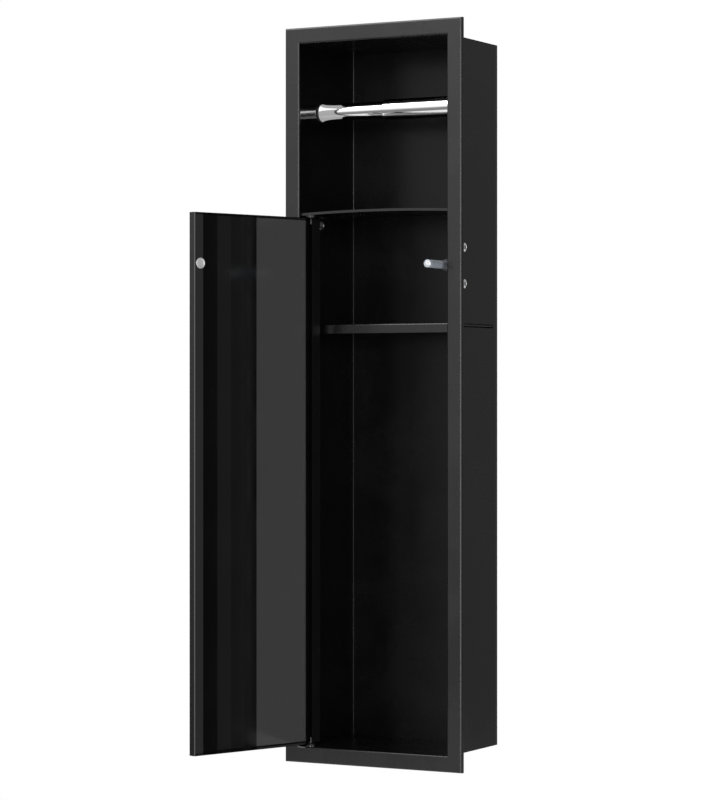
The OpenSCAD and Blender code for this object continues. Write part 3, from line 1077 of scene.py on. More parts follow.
@dataclass
class SubAssembly:
    """What the cabinet's sub-assemblies have in common.

    Attributes:
        paint: Where the materials come from.
        nodes: The CAD nodes by name.
    """

    paint: Paintbox
    nodes: dict[str, bpy.types.Object]

    def build(self) -> None:
        """Builds and dresses the sub-assembly."""
        raise NotImplementedError

    def dress(self, finish: Finish, *names: str) -> None:
        """Gives CAD nodes that stay visible a finish.

        Args:
            finish: The finish.
            names: The nodes.
        """
        for name in names:
            node = self.nodes[name]
            node.data.materials.clear()
            node.data.materials.append(self.paint.material(finish))
            LOG.info("dressed %s in %s", name, finish.name)

    def add(self, draft: Draft, fitting: Fitting) -> bpy.types.Object:
        """Puts a drafted piece on its body, in its finish and in its CAD node's stead.

        Args:
            draft: The piece's mesh.
            fitting: What the piece is.

        Returns:
            The finished piece.
        """
        piece = draft.make(f"{fitting.node}_{fitting.work.value}")
        piece.data.materials.append(self.paint.material(fitting.finish))
        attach(piece, fitting.body.value)
        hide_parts(fitting.node)
        faces = len(piece.data.polygons)
        LOG.info("added %s: %d faces on %s", piece.name, faces, fitting.body.value)
        return piece

    def turn(
        self, fitting: Fitting, corners: Sequence[Corner], place: Matrix, segments: int = 72
    ) -> bpy.types.Object:
        """Adds a piece that is one solid of revolution.

        Args:
            fitting: What the piece is.
            corners: Its profile.
            place: Where it goes; it is drawn along +Z.
            segments: Number of facets round the axis.

        Returns:
            The finished piece.
        """
        draft = Draft()
        draft.turn(corners, place, segments)
        return self.add(draft, fitting)

    def wind(self, coil: Coil, place: Matrix, length: float, bore: float) -> None:
        """Adds a spring along its path, on a mesh of its own.

        Args:
            coil: The spring.
            place: Where its start goes.
            length: Its length over the wire.
            bore: Radius of the bore round it.
        """
        draft = Draft()
        draft.sweep(coil.path(place, length, bore), coil.wire_radius)
        spring = self.add(draft, Fitting(coil.node, Work.WOUND, coil.body, SPRING_WIRE))
        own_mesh(spring)


def middle(node: str) -> Vector:
    """Gives the middle of a CAD node's box at rest."""
    low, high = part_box(node)
    return (low + high) / 2


def along(node: str, axis: Axis, line: str | None = None) -> tuple[Matrix, float]:
    """Gives the place of a CAD node's low end on a line along an axis, and its length.

    Args:
        node: The node.
        axis: The axis that the line runs along.
        line: The node whose middle the line goes through; without it, this one's.

    Returns:
        The place, whose +Z runs along the line, and the node's length.
    """
    low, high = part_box(node)
    start = middle(line or node)
    start[axis.value] = low[axis.value]
    return place_on(start, axis.direction), high[axis.value] - low[axis.value]


@dataclass
class SheetBody(SubAssembly):
    """The trim frame, the welded box, the divider and the shelf: folded sheet steel.

    Attributes:
        wall_thickness: Thickness of the walls that the shelf's bars are let into.
        bar_rounding: Rounding of the bars' inner ends.
        groove_rim: Width of the bars' rim outside the groove in their outer ends.
        groove_depth: Depth of that groove.
        bead_radius: Half the height of the bead that the groove runs round.
        bead_rise: How far that bead stands over the bar's middle.
        bead_rounding: Rounding of that bead.
        arc_steps: Chords in each half circle of the bars' outline.
    """

    wall_thickness: float = 1.0 * MM
    bar_rounding: float = 0.3 * MM
    groove_rim: float = 0.1 * MM
    groove_depth: float = 4.3 * MM
    bead_radius: float = 0.8 * MM
    bead_rise: float = 0.3 * MM
    bead_rounding: float = 0.1 * MM
    arc_steps: int = 16

    def build(self) -> None:
        """Coats every sheet of the fixed body and adds the shelf's bars."""
        rails = (f"{side}_frame_rail" for side in ("left", "right", "top", "bottom"))
        self.dress(SATIN_COAT, *rails)
        self.dress(SATIN_COAT, "right_wall", "top_wall", "bottom_wall", "divider", "storage_shelf")
        self.dress(GLOSS_COAT, "left_wall")
        self.dress(RECESS_COAT, "back_wall")
        for node, outward in (("left_shelf_rail", -1), ("right_shelf_rail", 1)):
            self._shelf_rail(node, outward)

    def _shelf_rail(self, node: str, outward: int) -> None:
        """Adds a round-ended bar, with the bead and the deep groove pressed in its outer end.

        Args:
            node: The bar's CAD node.
            outward: Direction along X in which its grooved end looks.
        """
        low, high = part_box(node)
        centre = middle(node)
        start = low.x if outward > 0 else high.x
        thick, radius = high.x - low.x, (high.z - low.z) / 2
        reach = (high.y - low.y) / 2 - radius
        near, far = self.groove_rim, radius - self.bead_radius
        wall, bottom = thick - self.wall_thickness, thick - self.groove_depth
        floor, slope = bottom + (far - near) / 2, (near + far) / 2
        rise, round_off = self.bead_rise, self.bead_rounding

        def outline(station: float, inset: float, lift: float = 0.0) -> list[Vector]:
            """Gives one of the outlines that the bar is stacked from.

            Args:
                station: Its distance from the bar's inner end.
                inset: How far it lies inside the bar's own outline.
                lift: How far it is raised.

            Returns:
                Its points in order.
            """
            points = []
            for end in (1, -1):
                for step in range(self.arc_steps + 1):
                    turn = math.pi * (step / self.arc_steps - 0.5)
                    deep = end * (reach + (radius - inset) * math.cos(turn))
                    up = end * (radius - inset) * math.sin(turn)
                    across = start + outward * station
                    points.append(Vector((across, centre.y + deep, centre.z + lift + up)))
            return points

        draft = Draft()
        draft.stack([
            outline(0.0, self.bar_rounding), outline(self.bar_rounding, 0.0),
            outline(wall, 0.0), outline(wall, near), outline(floor, near),
            outline(bottom, slope, rise / 2), outline(floor, far, rise),
            outline(thick - round_off, far, rise), outline(thick, far + round_off, rise),
        ])
        self.add(draft, Fitting(node, Work.FORMED, Body.CABINET, SATIN_COAT))


class Face(Enum):
    """Flat inner faces of the door, each with its height over the door's mid plane."""

    TRAY = -4.25 * MM
    RETURNS = 5.25 * MM


@dataclass(frozen=True)
class GlowStrip:
    """A long soft light that one of the door's inner faces mirrors.

    Attributes:
        face: The face that mirrors it.
        near: Where its image starts, from the door's hinge edge.
        far: Where its image ends, from the door's hinge edge.
        stand: How far it stands off that face.
        radiance: How bright it is.
    """

    face: Face
    near: float
    far: float
    stand: float
    radiance: float


@dataclass
class Door(SubAssembly):
    """The folded door tray with its strike disc, and the strips that light its inside.

    Attributes:
        hinge: A point on the pivot axis.
        open_deg: Angle at which the CAD door stands open.
        pivot_inset: Distance of the pivot axis from the hinge edge.
        strip_lead: How far a mirrored point leads towards the hinge, for each metre that
            it stands off the face.
        disc_thickness: Thickness of the strike disc.
        disc_radius: Radius of the strike disc.
        strip_inset: Distance of the strips' ends from the door's.
        strips: The strips, from the hinge side out.
    """

    hinge: Vector
    open_deg: float = 110.0
    pivot_inset: float = 10.5 * MM
    strip_lead: float = 0.84
    disc_thickness: float = 1.2 * MM
    disc_radius: float = 6.5 * MM
    strip_inset: float = 2.0 * MM
    strips: tuple[GlowStrip, ...] = (
        GlowStrip(Face.RETURNS, 0 * MM, 13 * MM, 3 * MM, 0.05),
        GlowStrip(Face.TRAY, 16 * MM, 94 * MM, 6 * MM, 0.80),
        GlowStrip(Face.TRAY, 94 * MM, 113 * MM, 6 * MM, 0.02),
        GlowStrip(Face.TRAY, 113 * MM, 134 * MM, 6 * MM, 0.07),
        GlowStrip(Face.TRAY, 134 * MM, 155 * MM, 6 * MM, 0.13),
        GlowStrip(Face.RETURNS, 181 * MM, 198 * MM, 5 * MM, 0.38),
    )

    @property
    def inward(self) -> Vector:
        """Direction that the door's inner face looks in."""
        turn = math.radians(self.open_deg)
        return Vector((math.sin(turn), math.cos(turn), 0))

    @property
    def outward_edge(self) -> Vector:
        """Direction from the hinge to the free edge."""
        turn = math.radians(self.open_deg)
        return Vector((math.cos(turn), -math.sin(turn), 0))

    def build(self) -> None:
        """Coats the tray, adds the strike disc and hangs the strips."""
        self.dress(GLOSS_COAT, "door_panel")
        self._glow_strips(self._strike_disc())

    def _strike_disc(self) -> bpy.types.Object:
        """Adds the pressed disc that the latch's magnet holds.

        Returns:
            The disc.
        """
        thick, radius = self.disc_thickness, self.disc_radius
        centre = middle("strike_disc") - self.inward * thick / 2
        return self.turn(Fitting("strike_disc", Work.PRESSED, Body.DOOR, STRIKE_PLATE), [
            Corner(0, 0), Corner(0, radius, 0.1 * MM), Corner(thick, radius, 0.45 * MM),
            Corner(thick, radius - 1.5 * MM, 0.3 * MM),
            Corner(thick - 0.3 * MM, radius - 1.8 * MM, 0.3 * MM), Corner(thick - 0.25 * MM, 0),
        ], place_on(centre, self.inward))

    def _glow_strips(self, disc: bpy.types.Object) -> None:
        """Hangs long lights before the door's inner faces, for the door alone.

        Args:
            disc: The strike disc, which they light too.
        """
        low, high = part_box("door_panel")
        only_door = bpy.data.collections.new("door_inside_only")
        only_door.objects.link(self.nodes["door_panel"])
        only_door.objects.link(disc)
        length = high.z - low.z - 2 * self.strip_inset
        for index, strip in enumerate(self.strips):
            reach = (strip.near + strip.far) / 2 - self.pivot_inset - strip.stand * self.strip_lead
            height = strip.face.value + strip.stand
            spot = self.hinge + self.outward_edge * reach + self.inward * height
            spot.z = (low.z + high.z) / 2
            size = (strip.far - strip.near, length)
            lamp = add_area_light(f"door_strip_{index}", spot, -self.inward, size, strip.radiance)
            lamp.parent = self.nodes["door_panel"].parent
            shine_only_on(lamp, only_door)


@dataclass
class PivotHardware(SubAssembly):
    """The arms, pins, washers and clip that the door turns on, and the arm's screw.

    Attributes:
        hinge: A point on the pivot axis.
        pin_radius: Radius of both pins.
        washer_radius: Radius of both washers.
        washer_bore: Radius of the washers' bores.
        clip_radius: Radius of the retaining clip.
        clip_gap_deg: Opening of the clip's mouth.
        clip_turn_deg: Direction that its mouth looks in.
        clip_play: Gap between the pin and the clip, beside its lobes.
        clip_lobe: How far its three lobes reach inwards.
        clip_steps: Chords in its outline, on each side.
        screw: Sizes of the arm's screw.
        nut_flats: Width across the nut's flats.
        nut_bore: Radius of the nut's bore.
        nut_chamfer: Depth of the nut's chamfers.
    """

    hinge: Vector
    screw: SocketScrew
    pin_radius: float = 1.5 * MM
    washer_radius: float = 4.5 * MM
    washer_bore: float = 1.55 * MM
    clip_radius: float = 3.0 * MM
    clip_gap_deg: float = 64.0
    clip_turn_deg: float = -60.0
    clip_play: float = 0.65 * MM
    clip_lobe: float = 0.6 * MM
    clip_steps: int = 60
    nut_flats: float = 7.0 * MM
    nut_bore: float = 2.05 * MM
    nut_chamfer: float = 0.3 * MM

    def build(self) -> None:
        """Coats the arms and adds the fittings."""
        self.dress(SATIN_COAT, "upper_pivot_arm", "lower_pivot_arm")
        self._pins()
        self._washers()
        self._clip()
        self._arm_screw()
        self._arm_nut()

    def _on_axis(self, height: float) -> Matrix:
        """Gives the place on the pivot axis at a height."""
        return place_on(Vector((self.hinge.x, self.hinge.y, height)), Axis.Z.direction)

    def _pins(self) -> None:
        """Adds both pins, with softened ends."""
        for node in ("upper_pivot_pin", "lower_pivot_pin"):
            low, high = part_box(node)
            length = high.z - low.z
            # Each pin takes a near-black colour: painted shade round the pivots.
            self.turn(Fitting(node, Work.TURNED, Body.CABINET, SHADE_DARKENED_PLATE), [
                Corner(0, 0), Corner(0, self.pin_radius, 0.5 * MM),
                Corner(length, self.pin_radius, 0.5 * MM), Corner(length, 0),
            ], self._on_axis(low.z), 48)

    def _washers(self) -> None:
        """Adds both washers, with rounded rims."""
        low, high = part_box("pivot_washers")
        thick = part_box("door_panel")[0].z - low.z - 0.1 * MM
        draft = Draft()
        for base in (low.z, high.z - thick):
            draft.turn([
                Corner(0, self.washer_bore, 0.15 * MM), Corner(0, self.washer_radius, 0.35 * MM),
                Corner(thick, self.washer_radius, 0.35 * MM),
                Corner(thick, self.washer_bore, 0.15 * MM),
            ], self._on_axis(base), 56)
        self.add(draft, Fitting("pivot_washers", Work.MOULDED, Body.CABINET, NYLON))

    def _clip(self) -> None:
        """Adds the stamped clip that snaps on the lower pin, with its three inner lobes."""
        low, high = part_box("pin_clip")
        half_gap = math.radians(self.clip_gap_deg) / 2
        span = 2 * math.pi - 2 * half_gap
        angles = [half_gap + span * step / self.clip_steps for step in range(self.clip_steps + 1)]
        outer = [Vector((math.cos(angle), math.sin(angle))) * self.clip_radius for angle in angles]
        inner = []
        for angle in reversed(angles):
            lobe = 0.5 + 0.5 * math.cos(3 * (angle - math.pi))
            radius = self.pin_radius + self.clip_play - self.clip_lobe * lobe
            inner.append(Vector((math.cos(angle), math.sin(angle))) * radius)
        turn = Matrix.Rotation(math.radians(self.clip_turn_deg), 4, "Z")
        draft = Draft()
        draft.slab(outer + inner, high.z - low.z, 0.08 * MM, self._on_axis(low.z) @ turn)
        # The clip takes the same near-black colour: painted shade round the lower pivot.
        self.add(draft, Fitting("pin_clip", Work.STAMPED, Body.CABINET, SHADE_DARKENED_PLATE))

    def _arm_screw(self) -> None:
        """Adds the screw that holds the upper arm's foot to the left wall."""
        low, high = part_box("arm_screw")
        centre = middle("arm_screw")
        seat = Vector((high.x - self.screw.head_height, centre.y, centre.z))
        draft = Draft()
        self.screw.draw(draft, place_on(seat, Axis.X.direction), seat.x - low.x)
        self.add(draft, Fitting("arm_screw", Work.THREADED, Body.CABINET, ZINC_PLATE))

    def _arm_nut(self) -> None:
        """Adds the chamfered nut behind the left wall."""
        place, length = along("arm_nut", Axis.X)
        flats, bore, depth = self.nut_flats, self.nut_bore, self.nut_chamfer
        middle_flat, point = flats / 2, flats / math.sqrt(3)
        chamfer = (
            (0.0, middle_flat - 0.1 * MM), (0.12 * MM, middle_flat + 0.12 * MM), (depth, point),
        )
        corners = [Corner(depth, bore), Corner(0, bore + depth)]
        corners += [Corner(station, radius, 0, flats) for station, radius in chamfer]
        corners += [
            Corner(length - station, radius, 0, flats) for station, radius in reversed(chamfer)
        ]
        corners += [Corner(length, bore + depth), Corner(length - depth, bore)]
        draft = Draft(crease_deg=25.0)
        draft.turn(corners, place)
        self.add(draft, Fitting("arm_nut", Work.CHAMFERED, Body.CABINET, ZINC_PLATE))


@dataclass
class PushLatch(SubAssembly):
    """The push latch on the right wall: its holder, screws, housing, spring and plunger.

    Attributes:
        screw: Sizes of the latch's screws.
        plunger_radius: Radius of the plunger.
        bore_radius: Radius of the plunger's bore.
        magnet_radius: Radius of the magnet.
        cup_depth: Depth of the cup that holds the magnet.
        web: Thickness of the wall behind the magnet.
        housing_radius: Radius of the housing.
        collar_radius: Radius of the collar at its mouth.
        collar_length: Length of that collar.
        plug_recess: Radius of the recess in the housing's plug.
        recess_depth: Depth of that recess.
        spring: The spring between the plunger and the plug.
    """

    screw: SocketScrew
    plunger_radius: float = 4.8 * MM
    bore_radius: float = 3.4 * MM
    magnet_radius: float = 3.6 * MM
    cup_depth: float = 2.5 * MM
    web: float = 1.5 * MM
    housing_radius: float = 6.0 * MM
    collar_radius: float = 7.0 * MM
    collar_length: float = 2.5 * MM
    plug_recess: float = 1.6 * MM
    recess_depth: float = 0.4 * MM
    spring: Coil = Coil(
        node="latch_spring", body=Body.CABINET, axis=Axis.Y, joint="plunger_slide",
        travel=41.2 * MM, turns=18, wire_radius=0.35 * MM,
    )

    def build(self) -> None:
        """Dresses the holder and adds the turned and wound pieces."""
        self.dress(LATCH_BLACK, "latch_holder")
        self._screws()
        self._housing()
        self._plug()
        self._plunger()
        self._magnet()
        self._spring()

    def _screws(self) -> None:
        """Adds the two screws, whose heads show on the right wall's outside."""
        low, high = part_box("latch_screws")
        centre = middle("latch_screws")
        seat_x = high.x - self.screw.head_height
        draft = Draft()
        for height in (low.z + self.screw.head_radius, high.z - self.screw.head_radius):
            seat = Vector((seat_x, centre.y, height))
            self.screw.draw(draft, place_on(seat, Axis.X.direction), seat_x - low.x)
        self.add(draft, Fitting("latch_screws", Work.THREADED, Body.CABINET, ZINC_PLATE))

    def _housing(self) -> None:
        """Adds the housing with the collar at its mouth."""
        place, length = along("latch_housing", Axis.Y)
        bore = self.plunger_radius + 0.05 * MM
        self.turn(Fitting("latch_housing", Work.MOULDED, Body.CABINET, LATCH_BLACK), [
            Corner(0, bore, 0.3 * MM), Corner(0, self.collar_radius, 0.6 * MM),
            Corner(self.collar_length, self.collar_radius, 0.3 * MM),
            Corner(self.collar_length, self.housing_radius, 0.3 * MM),
            Corner(length, self.housing_radius, 0.4 * MM), Corner(length, bore, 0.2 * MM),
        ], place, 64)

    def _plug(self) -> None:
        """Adds the plug at the housing's rear, with the recess of its ejector pin."""
        place, length = along("housing_plug", Axis.Y)
        self.turn(Fitting("housing_plug", Work.MOULDED, Body.CABINET, LATCH_BLACK), [
            Corner(0, 0), Corner(0, self.plunger_radius, 0.3 * MM),
            Corner(length, self.plunger_radius, 0.3 * MM),
            Corner(length, self.plug_recess, 0.1 * MM),
            Corner(length - self.recess_depth, self.plug_recess - 0.1 * MM, 0.1 * MM),
            Corner(length - self.recess_depth, 0),
        ], place, 56)

    def _plunger(self) -> None:
        """Adds the plunger with its magnet cup and its spring bore."""
        place, length = along("latch_plunger", Axis.Y)
        seat = self.cup_depth + self.web
        cup = self.magnet_radius + 0.05 * MM
        self.turn(Fitting("latch_plunger", Work.MOULDED, Body.PLUNGER, LATCH_GREY), [
            Corner(seat, 0), Corner(seat, self.bore_radius, 0.3 * MM),
            Corner(length, self.bore_radius, 0.25 * MM),
            Corner(length, self.plunger_radius, 0.4 * MM),
            Corner(0, self.plunger_radius, 0.5 * MM), Corner(0, cup, 0.2 * MM),
            Corner(self.cup_depth, cup), Corner(self.cup_depth, 0),
        ], place, 64)

    def _magnet(self) -> None:
        """Adds the magnet, with its softened rim and its centre mark."""
        place, length = along("latch_magnet", Axis.Y)
        self.turn(Fitting("latch_magnet", Work.PLATED, Body.PLUNGER, MAGNET_PLATE), [
            Corner(0.12 * MM, 0), Corner(0.12 * MM, 0.6 * MM, 0.08 * MM),
            Corner(0, 0.8 * MM, 0.1 * MM),
            Corner(0, self.magnet_radius, 0.3 * MM), Corner(length, self.magnet_radius, 0.2 * MM),
            Corner(length, 0),
        ], place, 56)

    def _spring(self) -> None:
        """Adds the spring that the plunger presses as it goes in."""
        self.wind(self.spring, *along("latch_spring", Axis.Y), self.bore_radius)


@dataclass
class TelescopicRoller(SubAssembly):
    """The sprung roller in the niche: two chromed tubes, their rubber feet and the spring.

    Attributes:
        tube_radius: Radius of the large tube.
        tube_bore: Radius of its bore.
        tube_edge: Rounding of its ends.
        rod_radius: Radius of the small tube.
        rod_wall: Wall of the small tube.
        stem_length: Length of the feet's stems.
        tube_foot_radius: Radius of the large tube's foot.
        rod_foot_radius: Radius of the small tube's foot.
        stem_play: Gap between those stems and the tubes' bores.
        spring: The spring inside the large tube.
        glints: The lights that its left end mirrors; they shine on the small tube alone.
        front_glint: A farther light that its image in the left wall mirrors.
    """

    tube_radius: float = 13.0 * MM
    tube_bore: float = 10.85 * MM
    tube_edge: float = 0.8 * MM
    rod_radius: float = 10.8 * MM
    rod_wall: float = 1.2 * MM
    stem_length: float = 8.0 * MM
    tube_foot_radius: float = 12.4 * MM
    rod_foot_radius: float = 11.3 * MM
    stem_play: float = 0.05 * MM
    spring: Coil = Coil(
        node="roller_spring", body=Body.ROLLER_OUTER, axis=Axis.X, joint="roller_compress",
        travel=12.0 * MM, turns=11, wire_radius=0.6 * MM,
    )
    glints: tuple[Glint, ...] = (
        Glint(0.0, -4 * MM, 47 * MM, 124 * MM, 0.45),
        Glint(38.0, 2 * MM, 12 * MM, 4 * MM, 0.80),
        Glint(38.0, 12 * MM, 52 * MM, 13 * MM, 0.80),
    )
    front_glint: Softbox = Softbox(
        "roller_softbox", (1.10, -1.98, 1.62), (-0.09, 0.05, 0.78), (0.6, 0.9), 6.5
    )

    def build(self) -> None:
        """Adds both tubes, both feet, the spring and the glints."""
        self._tube()
        self._glints(self._rod())
        self._tube_foot()
        self._rod_foot()
        self._spring()

    def _glints(self, rod: bpy.types.Object) -> None:
        """Hangs soft lights for the small tube alone.

        Args:
            rod: The small tube.
        """
        axis = middle("roller_tube")
        axis.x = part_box("roller_rod_foot")[0].x + 0.5 * MM
        only_rod = bpy.data.collections.new("roller_rod_only")
        only_rod.objects.link(rod)
        shine_only_on(self.front_glint.hang(), only_rod)
        for index, glint in enumerate(self.glints):
            turn = Matrix.Rotation(-math.radians(glint.rise_deg), 4, "X")
            centre = axis + turn @ Vector((0, -(glint.near + glint.far) / 2, 0))
            name, size = f"roller_glint_{index}", (glint.far - glint.near, glint.width)
            lamp = add_area_light(name, centre, Vector(Axis.X.direction), size, glint.radiance)
            about = Matrix.Translation(centre) @ turn @ Matrix.Translation(-centre)
            lamp.matrix_world = about @ lamp.matrix_world
            shine_only_on(lamp, only_rod)

    def _tube(self) -> None:
        """Adds the large tube, with a rounded mouth."""
        place, length = along("roller_tube", Axis.X)
        self.turn(Fitting("roller_tube", Work.PLATED, Body.ROLLER_OUTER, CHROME_PLATE), [
            Corner(0, self.tube_bore, 0.5 * MM), Corner(0, self.tube_radius, self.tube_edge),
            Corner(length, self.tube_radius, self.tube_edge),
            Corner(length, self.tube_bore, 0.3 * MM),
        ], place, 128)

    def _rod(self) -> bpy.types.Object:
        """Adds the small tube, closed at its inner end.

        Returns:
            The small tube.
        """
        place, length = along("roller_rod", Axis.X, "roller_tube")
        bore = self.rod_radius - self.rod_wall
        return self.turn(Fitting("roller_rod", Work.PLATED, Body.ROLLER_INNER, CHROME_PLATE), [
            Corner(length - self.rod_wall, 0), Corner(length - self.rod_wall, bore, 0.6 * MM),
            Corner(0, bore, 0.3 * MM), Corner(0, self.rod_radius, 0.6 * MM),
            Corner(length, self.rod_radius, 1.0 * MM), Corner(length, 0),
        ], place, 112)

    def _tube_foot(self) -> None:
        """Adds the large tube's foot, with a dished face that grips the wall."""
        place, length = along("roller_tube_foot", Axis.X, "roller_tube")
        radius, stem = self.tube_foot_radius, self.tube_bore - self.stem_play
        self.turn(Fitting("roller_tube_foot", Work.MOULDED, Body.ROLLER_OUTER, RUBBER), [
            Corner(0, 0), Corner(0, stem, 0.5 * MM),
            Corner(self.stem_length, stem), Corner(self.stem_length, radius, 0.4 * MM),
            Corner(length, radius, 0.7 * MM), Corner(length, radius - 3 * MM, 0.4 * MM),
            Corner(length - 0.5 * MM, radius - 4 * MM, 0.4 * MM), Corner(length - 0.5 * MM, 0),
        ], place, 96)

    def _rod_foot(self) -> None:
        """Adds the small tube's foot, with a dished face that grips the wall."""
        place, length = along("roller_rod_foot", Axis.X, "roller_tube")
        radius, stem = self.rod_foot_radius, self.rod_radius - self.rod_wall - self.stem_play
        thick = length - self.stem_length
        self.turn(Fitting("roller_rod_foot", Work.MOULDED, Body.ROLLER_INNER, RUBBER), [
            Corner(0.4 * MM, 0), Corner(0.4 * MM, radius - 4 * MM, 0.3 * MM),
            Corner(0, radius - 3 * MM, 0.3 * MM), Corner(0, radius, 0.6 * MM),
            Corner(thick, radius, 0.4 * MM), Corner(thick, stem),
            Corner(length, stem, 0.5 * MM), Corner(length, 0),
        ], place, 96)

    def _spring(self) -> None:
        """Adds the spring that the small tube presses as it goes in."""
        self.wind(self.spring, *along("roller_spring", Axis.X, "roller_tube"), self.tube_bore)


# ---------------------------------------------------------------------------
# Studio
# ---------------------------------------------------------------------------


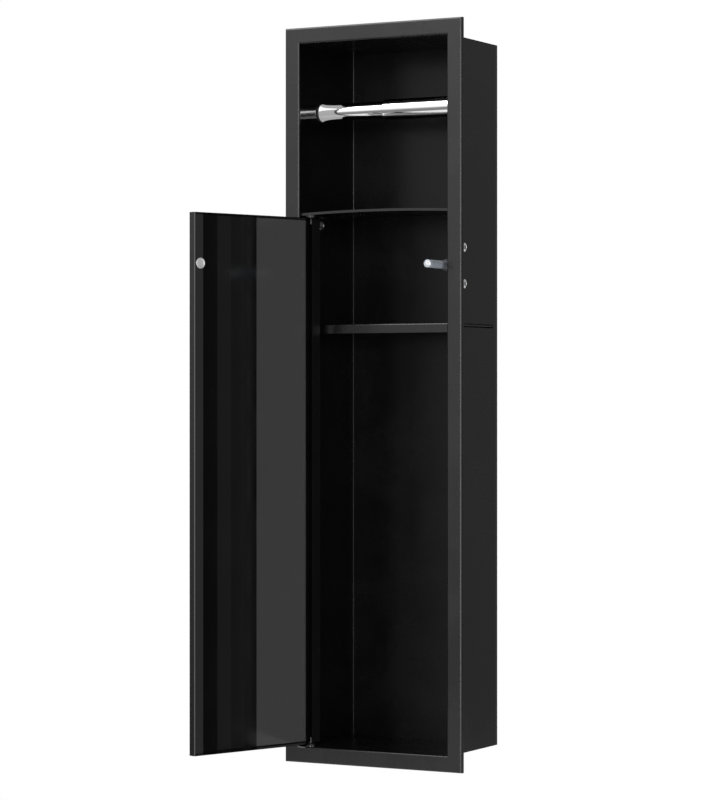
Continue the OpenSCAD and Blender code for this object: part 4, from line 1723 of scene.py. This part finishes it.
@dataclass
class Studio:
    """The plain pale floor, the soft light round the cabinet and the camera.

    Attributes:
        floor_z: Height of the floor; the cabinet hangs above it as on a wall.
        floor_radius: Radius of the floor.
        key_direction: Where the bright side of the room lies.
        rear_direction: Where a weak glow from the rear right comes from.
        view_direction: Where the camera looks.
        camera_spot: Where the camera stands.
        camera_turn_deg: How far the camera is turned from looking straight in.
        lens: Focal length on a picture 36 mm high.
        shift_y: Vertical shift of the picture.
        softboxes: The soft boxes.
    """

    floor_z: float = -0.30
    floor_radius: float = 1.6
    key_direction: tuple[float, float, float] = (-0.42, -0.906, 0.0)
    rear_direction: tuple[float, float, float] = (0.35, 0.94, 0.0)
    view_direction: tuple[float, float, float] = (-0.474, 0.880, 0.0)
    camera_spot: tuple[float, float, float] = (1.6493, -3.0831, 0.4315)
    camera_turn_deg: float = 28.358
    lens: float = 129.61
    shift_y: float = -0.0051
    softboxes: tuple[Softbox, ...] = (
        Softbox("side_softbox", (2.2, -1.17, 0.45), (0.0, 0.0, 0.45), (1.7, 2.3), 2.2),
        Softbox("edge_softbox", (0.35, -2.47, 0.45), (0.0, 0.0, 0.45), (0.9, 2.2), 6.5),
        Softbox("front_softbox", (-1.1, -1.5, 2.3), (0.0, 0.0, 0.7), (1.7, 1.5), 4.4),
        Softbox("top_softbox", (-0.95, -0.15, 2.6), (0.0, 0.0, 0.8), (1.5, 1.5), 3.6),
    )

    def build(self) -> None:
        """Sets up the whole studio."""
        scene = bpy.context.scene
        scene.view_settings.view_transform = "Standard"
        self._world(scene)
        self._floor()
        for box in self.softboxes:
            box.hang()
            LOG.info("hung %s", box.name)
        self._camera(scene)

    def _world(self, scene: bpy.types.Scene) -> None:
        """Makes the room: bright to the front left, dim to the rear right, white behind.

        Args:
            scene: The scene that gets the world.
        """
        world = bpy.data.worlds.new("studio_room")
        scene.world = world
        world.use_nodes = True
        wiring = Wiring(world.node_tree)
        background = world.node_tree.nodes["Background"]
        ray = wiring.add("LightPath").outputs
        direction = wiring.add("TexCoord").outputs["Generated"]
        height = wiring.add("SeparateXYZ", {0: direction}).outputs["Z"]

        def toward(axis: Sequence[float]) -> bpy.types.NodeSocket:
            """Gives how nearly the ray points along an axis.

            Args:
                axis: The axis, at any length.

            Returns:
                The cosine of the angle between them.
            """
            sockets = {0: direction, 1: Vector(axis).normalized()}
            return wiring.add("VectorMath", sockets, operation="DOT_PRODUCT").outputs["Value"]

        side = wiring.spread(toward(self.key_direction), Ramp(0.30, 0.97, 0.03, 1.0))
        rise = wiring.spread(height, Ramp(-0.22, 0.20, 0.26, 1.40))
        rear = wiring.spread(toward(self.rear_direction), Ramp(0.55, 0.86))
        lift = wiring.spread(wiring.maths("ABSOLUTE", height), Ramp(0.20, 0.42, 0.16, 1.1))
        room = wiring.maths("MULTIPLY_ADD", side, rise, wiring.maths("MULTIPLY", rear, lift))
        behind = wiring.spread(toward(self.view_direction), Ramp(0.86, 0.96))
        mirrored = wiring.maths("MAXIMUM", ray["Is Glossy Ray"], ray["Is Transmission Ray"])
        mirrored = wiring.maths("MULTIPLY", mirrored, behind)
        white = wiring.maths("MAXIMUM", ray["Is Camera Ray"], mirrored)
        shade = wiring.add("Mix", {0: white, 2: room, 3: 1.0}, data_type="FLOAT").outputs[0]
        colour = wiring.add("CombineColor", {0: shade, 1: shade, 2: shade}).outputs["Color"]
        world.node_tree.links.new(colour, background.inputs["Color"])

    def _floor(self) -> None:
        """Adds the floor, a shallow disc whose rim melts into the white room."""
        draft = Draft()
        draft.turn([
            Corner(-0.02, 0), Corner(-0.02, self.floor_radius, 0.008),
            Corner(0, self.floor_radius, 0.008), Corner(0, self.floor_radius * 0.5), Corner(0, 0),
        ], place_on(Vector((0, 0, self.floor_z)), Axis.Z.direction), 128)
        floor = draft.make("studio_floor")
        material = bpy.data.materials.new("pale_floor")
        material.use_nodes = True
        tree = material.node_tree
        wiring = Wiring(tree)
        shader = tree.nodes["Principled BSDF"]
        shader.inputs["Base Color"].default_value = (0.80, 0.80, 0.79, 1.0)
        shader.inputs["Roughness"].default_value = 0.9
        shader.inputs["Specular IOR Level"].default_value = 0.1
        place = wiring.add("TexCoord").outputs["Object"]
        reach = wiring.add("VectorMath", {0: place}, operation="LENGTH").outputs["Value"]
        rim = wiring.spread(reach, Ramp(self.floor_radius * 0.45, self.floor_radius * 0.98))
        ray = wiring.add("LightPath").outputs
        mirrored = wiring.maths("MAXIMUM", ray["Is Glossy Ray"], ray["Is Transmission Ray"])
        seen = wiring.maths("MAXIMUM", ray["Is Camera Ray"], mirrored)
        white = wiring.add("Emission", {"Color": (1.0, 1.0, 1.0, 1.0), "Strength": 1.0})
        fade = wiring.maths("MULTIPLY", rim, seen)
        surface = wiring.add("MixShader", {0: fade, 1: shader.outputs[0], 2: white.outputs[0]})
        tree.links.new(surface.outputs[0], tree.nodes["Material Output"].inputs["Surface"])
        floor.data.materials.append(material)

    def _camera(self, scene: bpy.types.Scene) -> None:
        """Adds the camera at the photograph's viewing angle.

        Args:
            scene: The scene that gets the camera.
        """
        data = bpy.data.cameras.new("camera")
        data.sensor_fit = "VERTICAL"
        data.sensor_height = 36.0
        data.lens = self.lens
        data.shift_y = self.shift_y
        camera = bpy.data.objects.new("camera", data)
        camera.location = self.camera_spot
        camera.rotation_euler = (math.radians(90), 0, math.radians(self.camera_turn_deg))
        scene.collection.objects.link(camera)
        scene.camera = camera


def joint_point(frame: dict[str, Any], name: str) -> Vector:
    """Gives a joint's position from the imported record.

    Args:
        name: The joint's name.

    Returns:
        Its position.
    """
    return Vector(next(joint["pos_m"] for joint in frame["joints"] if joint["name"] == name))


def main() -> None:
    """Builds the cabinet's looks and the studio, in order."""
    logging.basicConfig(level=logging.INFO, format="%(name)s: %(message)s")
    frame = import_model()
    paint, nodes = Paintbox(), frame["nodes"]
    hinge = joint_point(frame, "door_hinge")
    screw = SocketScrew()
    assemblies: list[SubAssembly] = [
        SheetBody(paint, nodes),
        PivotHardware(paint, nodes, hinge, screw),
        Door(paint, nodes, hinge),
        PushLatch(paint, nodes, screw),
        TelescopicRoller(paint, nodes),
    ]
    for assembly in assemblies:
        assembly.build()
        LOG.info("finished %s", type(assembly).__name__)
    Studio().build()


if __name__ == "__main__":
    main()
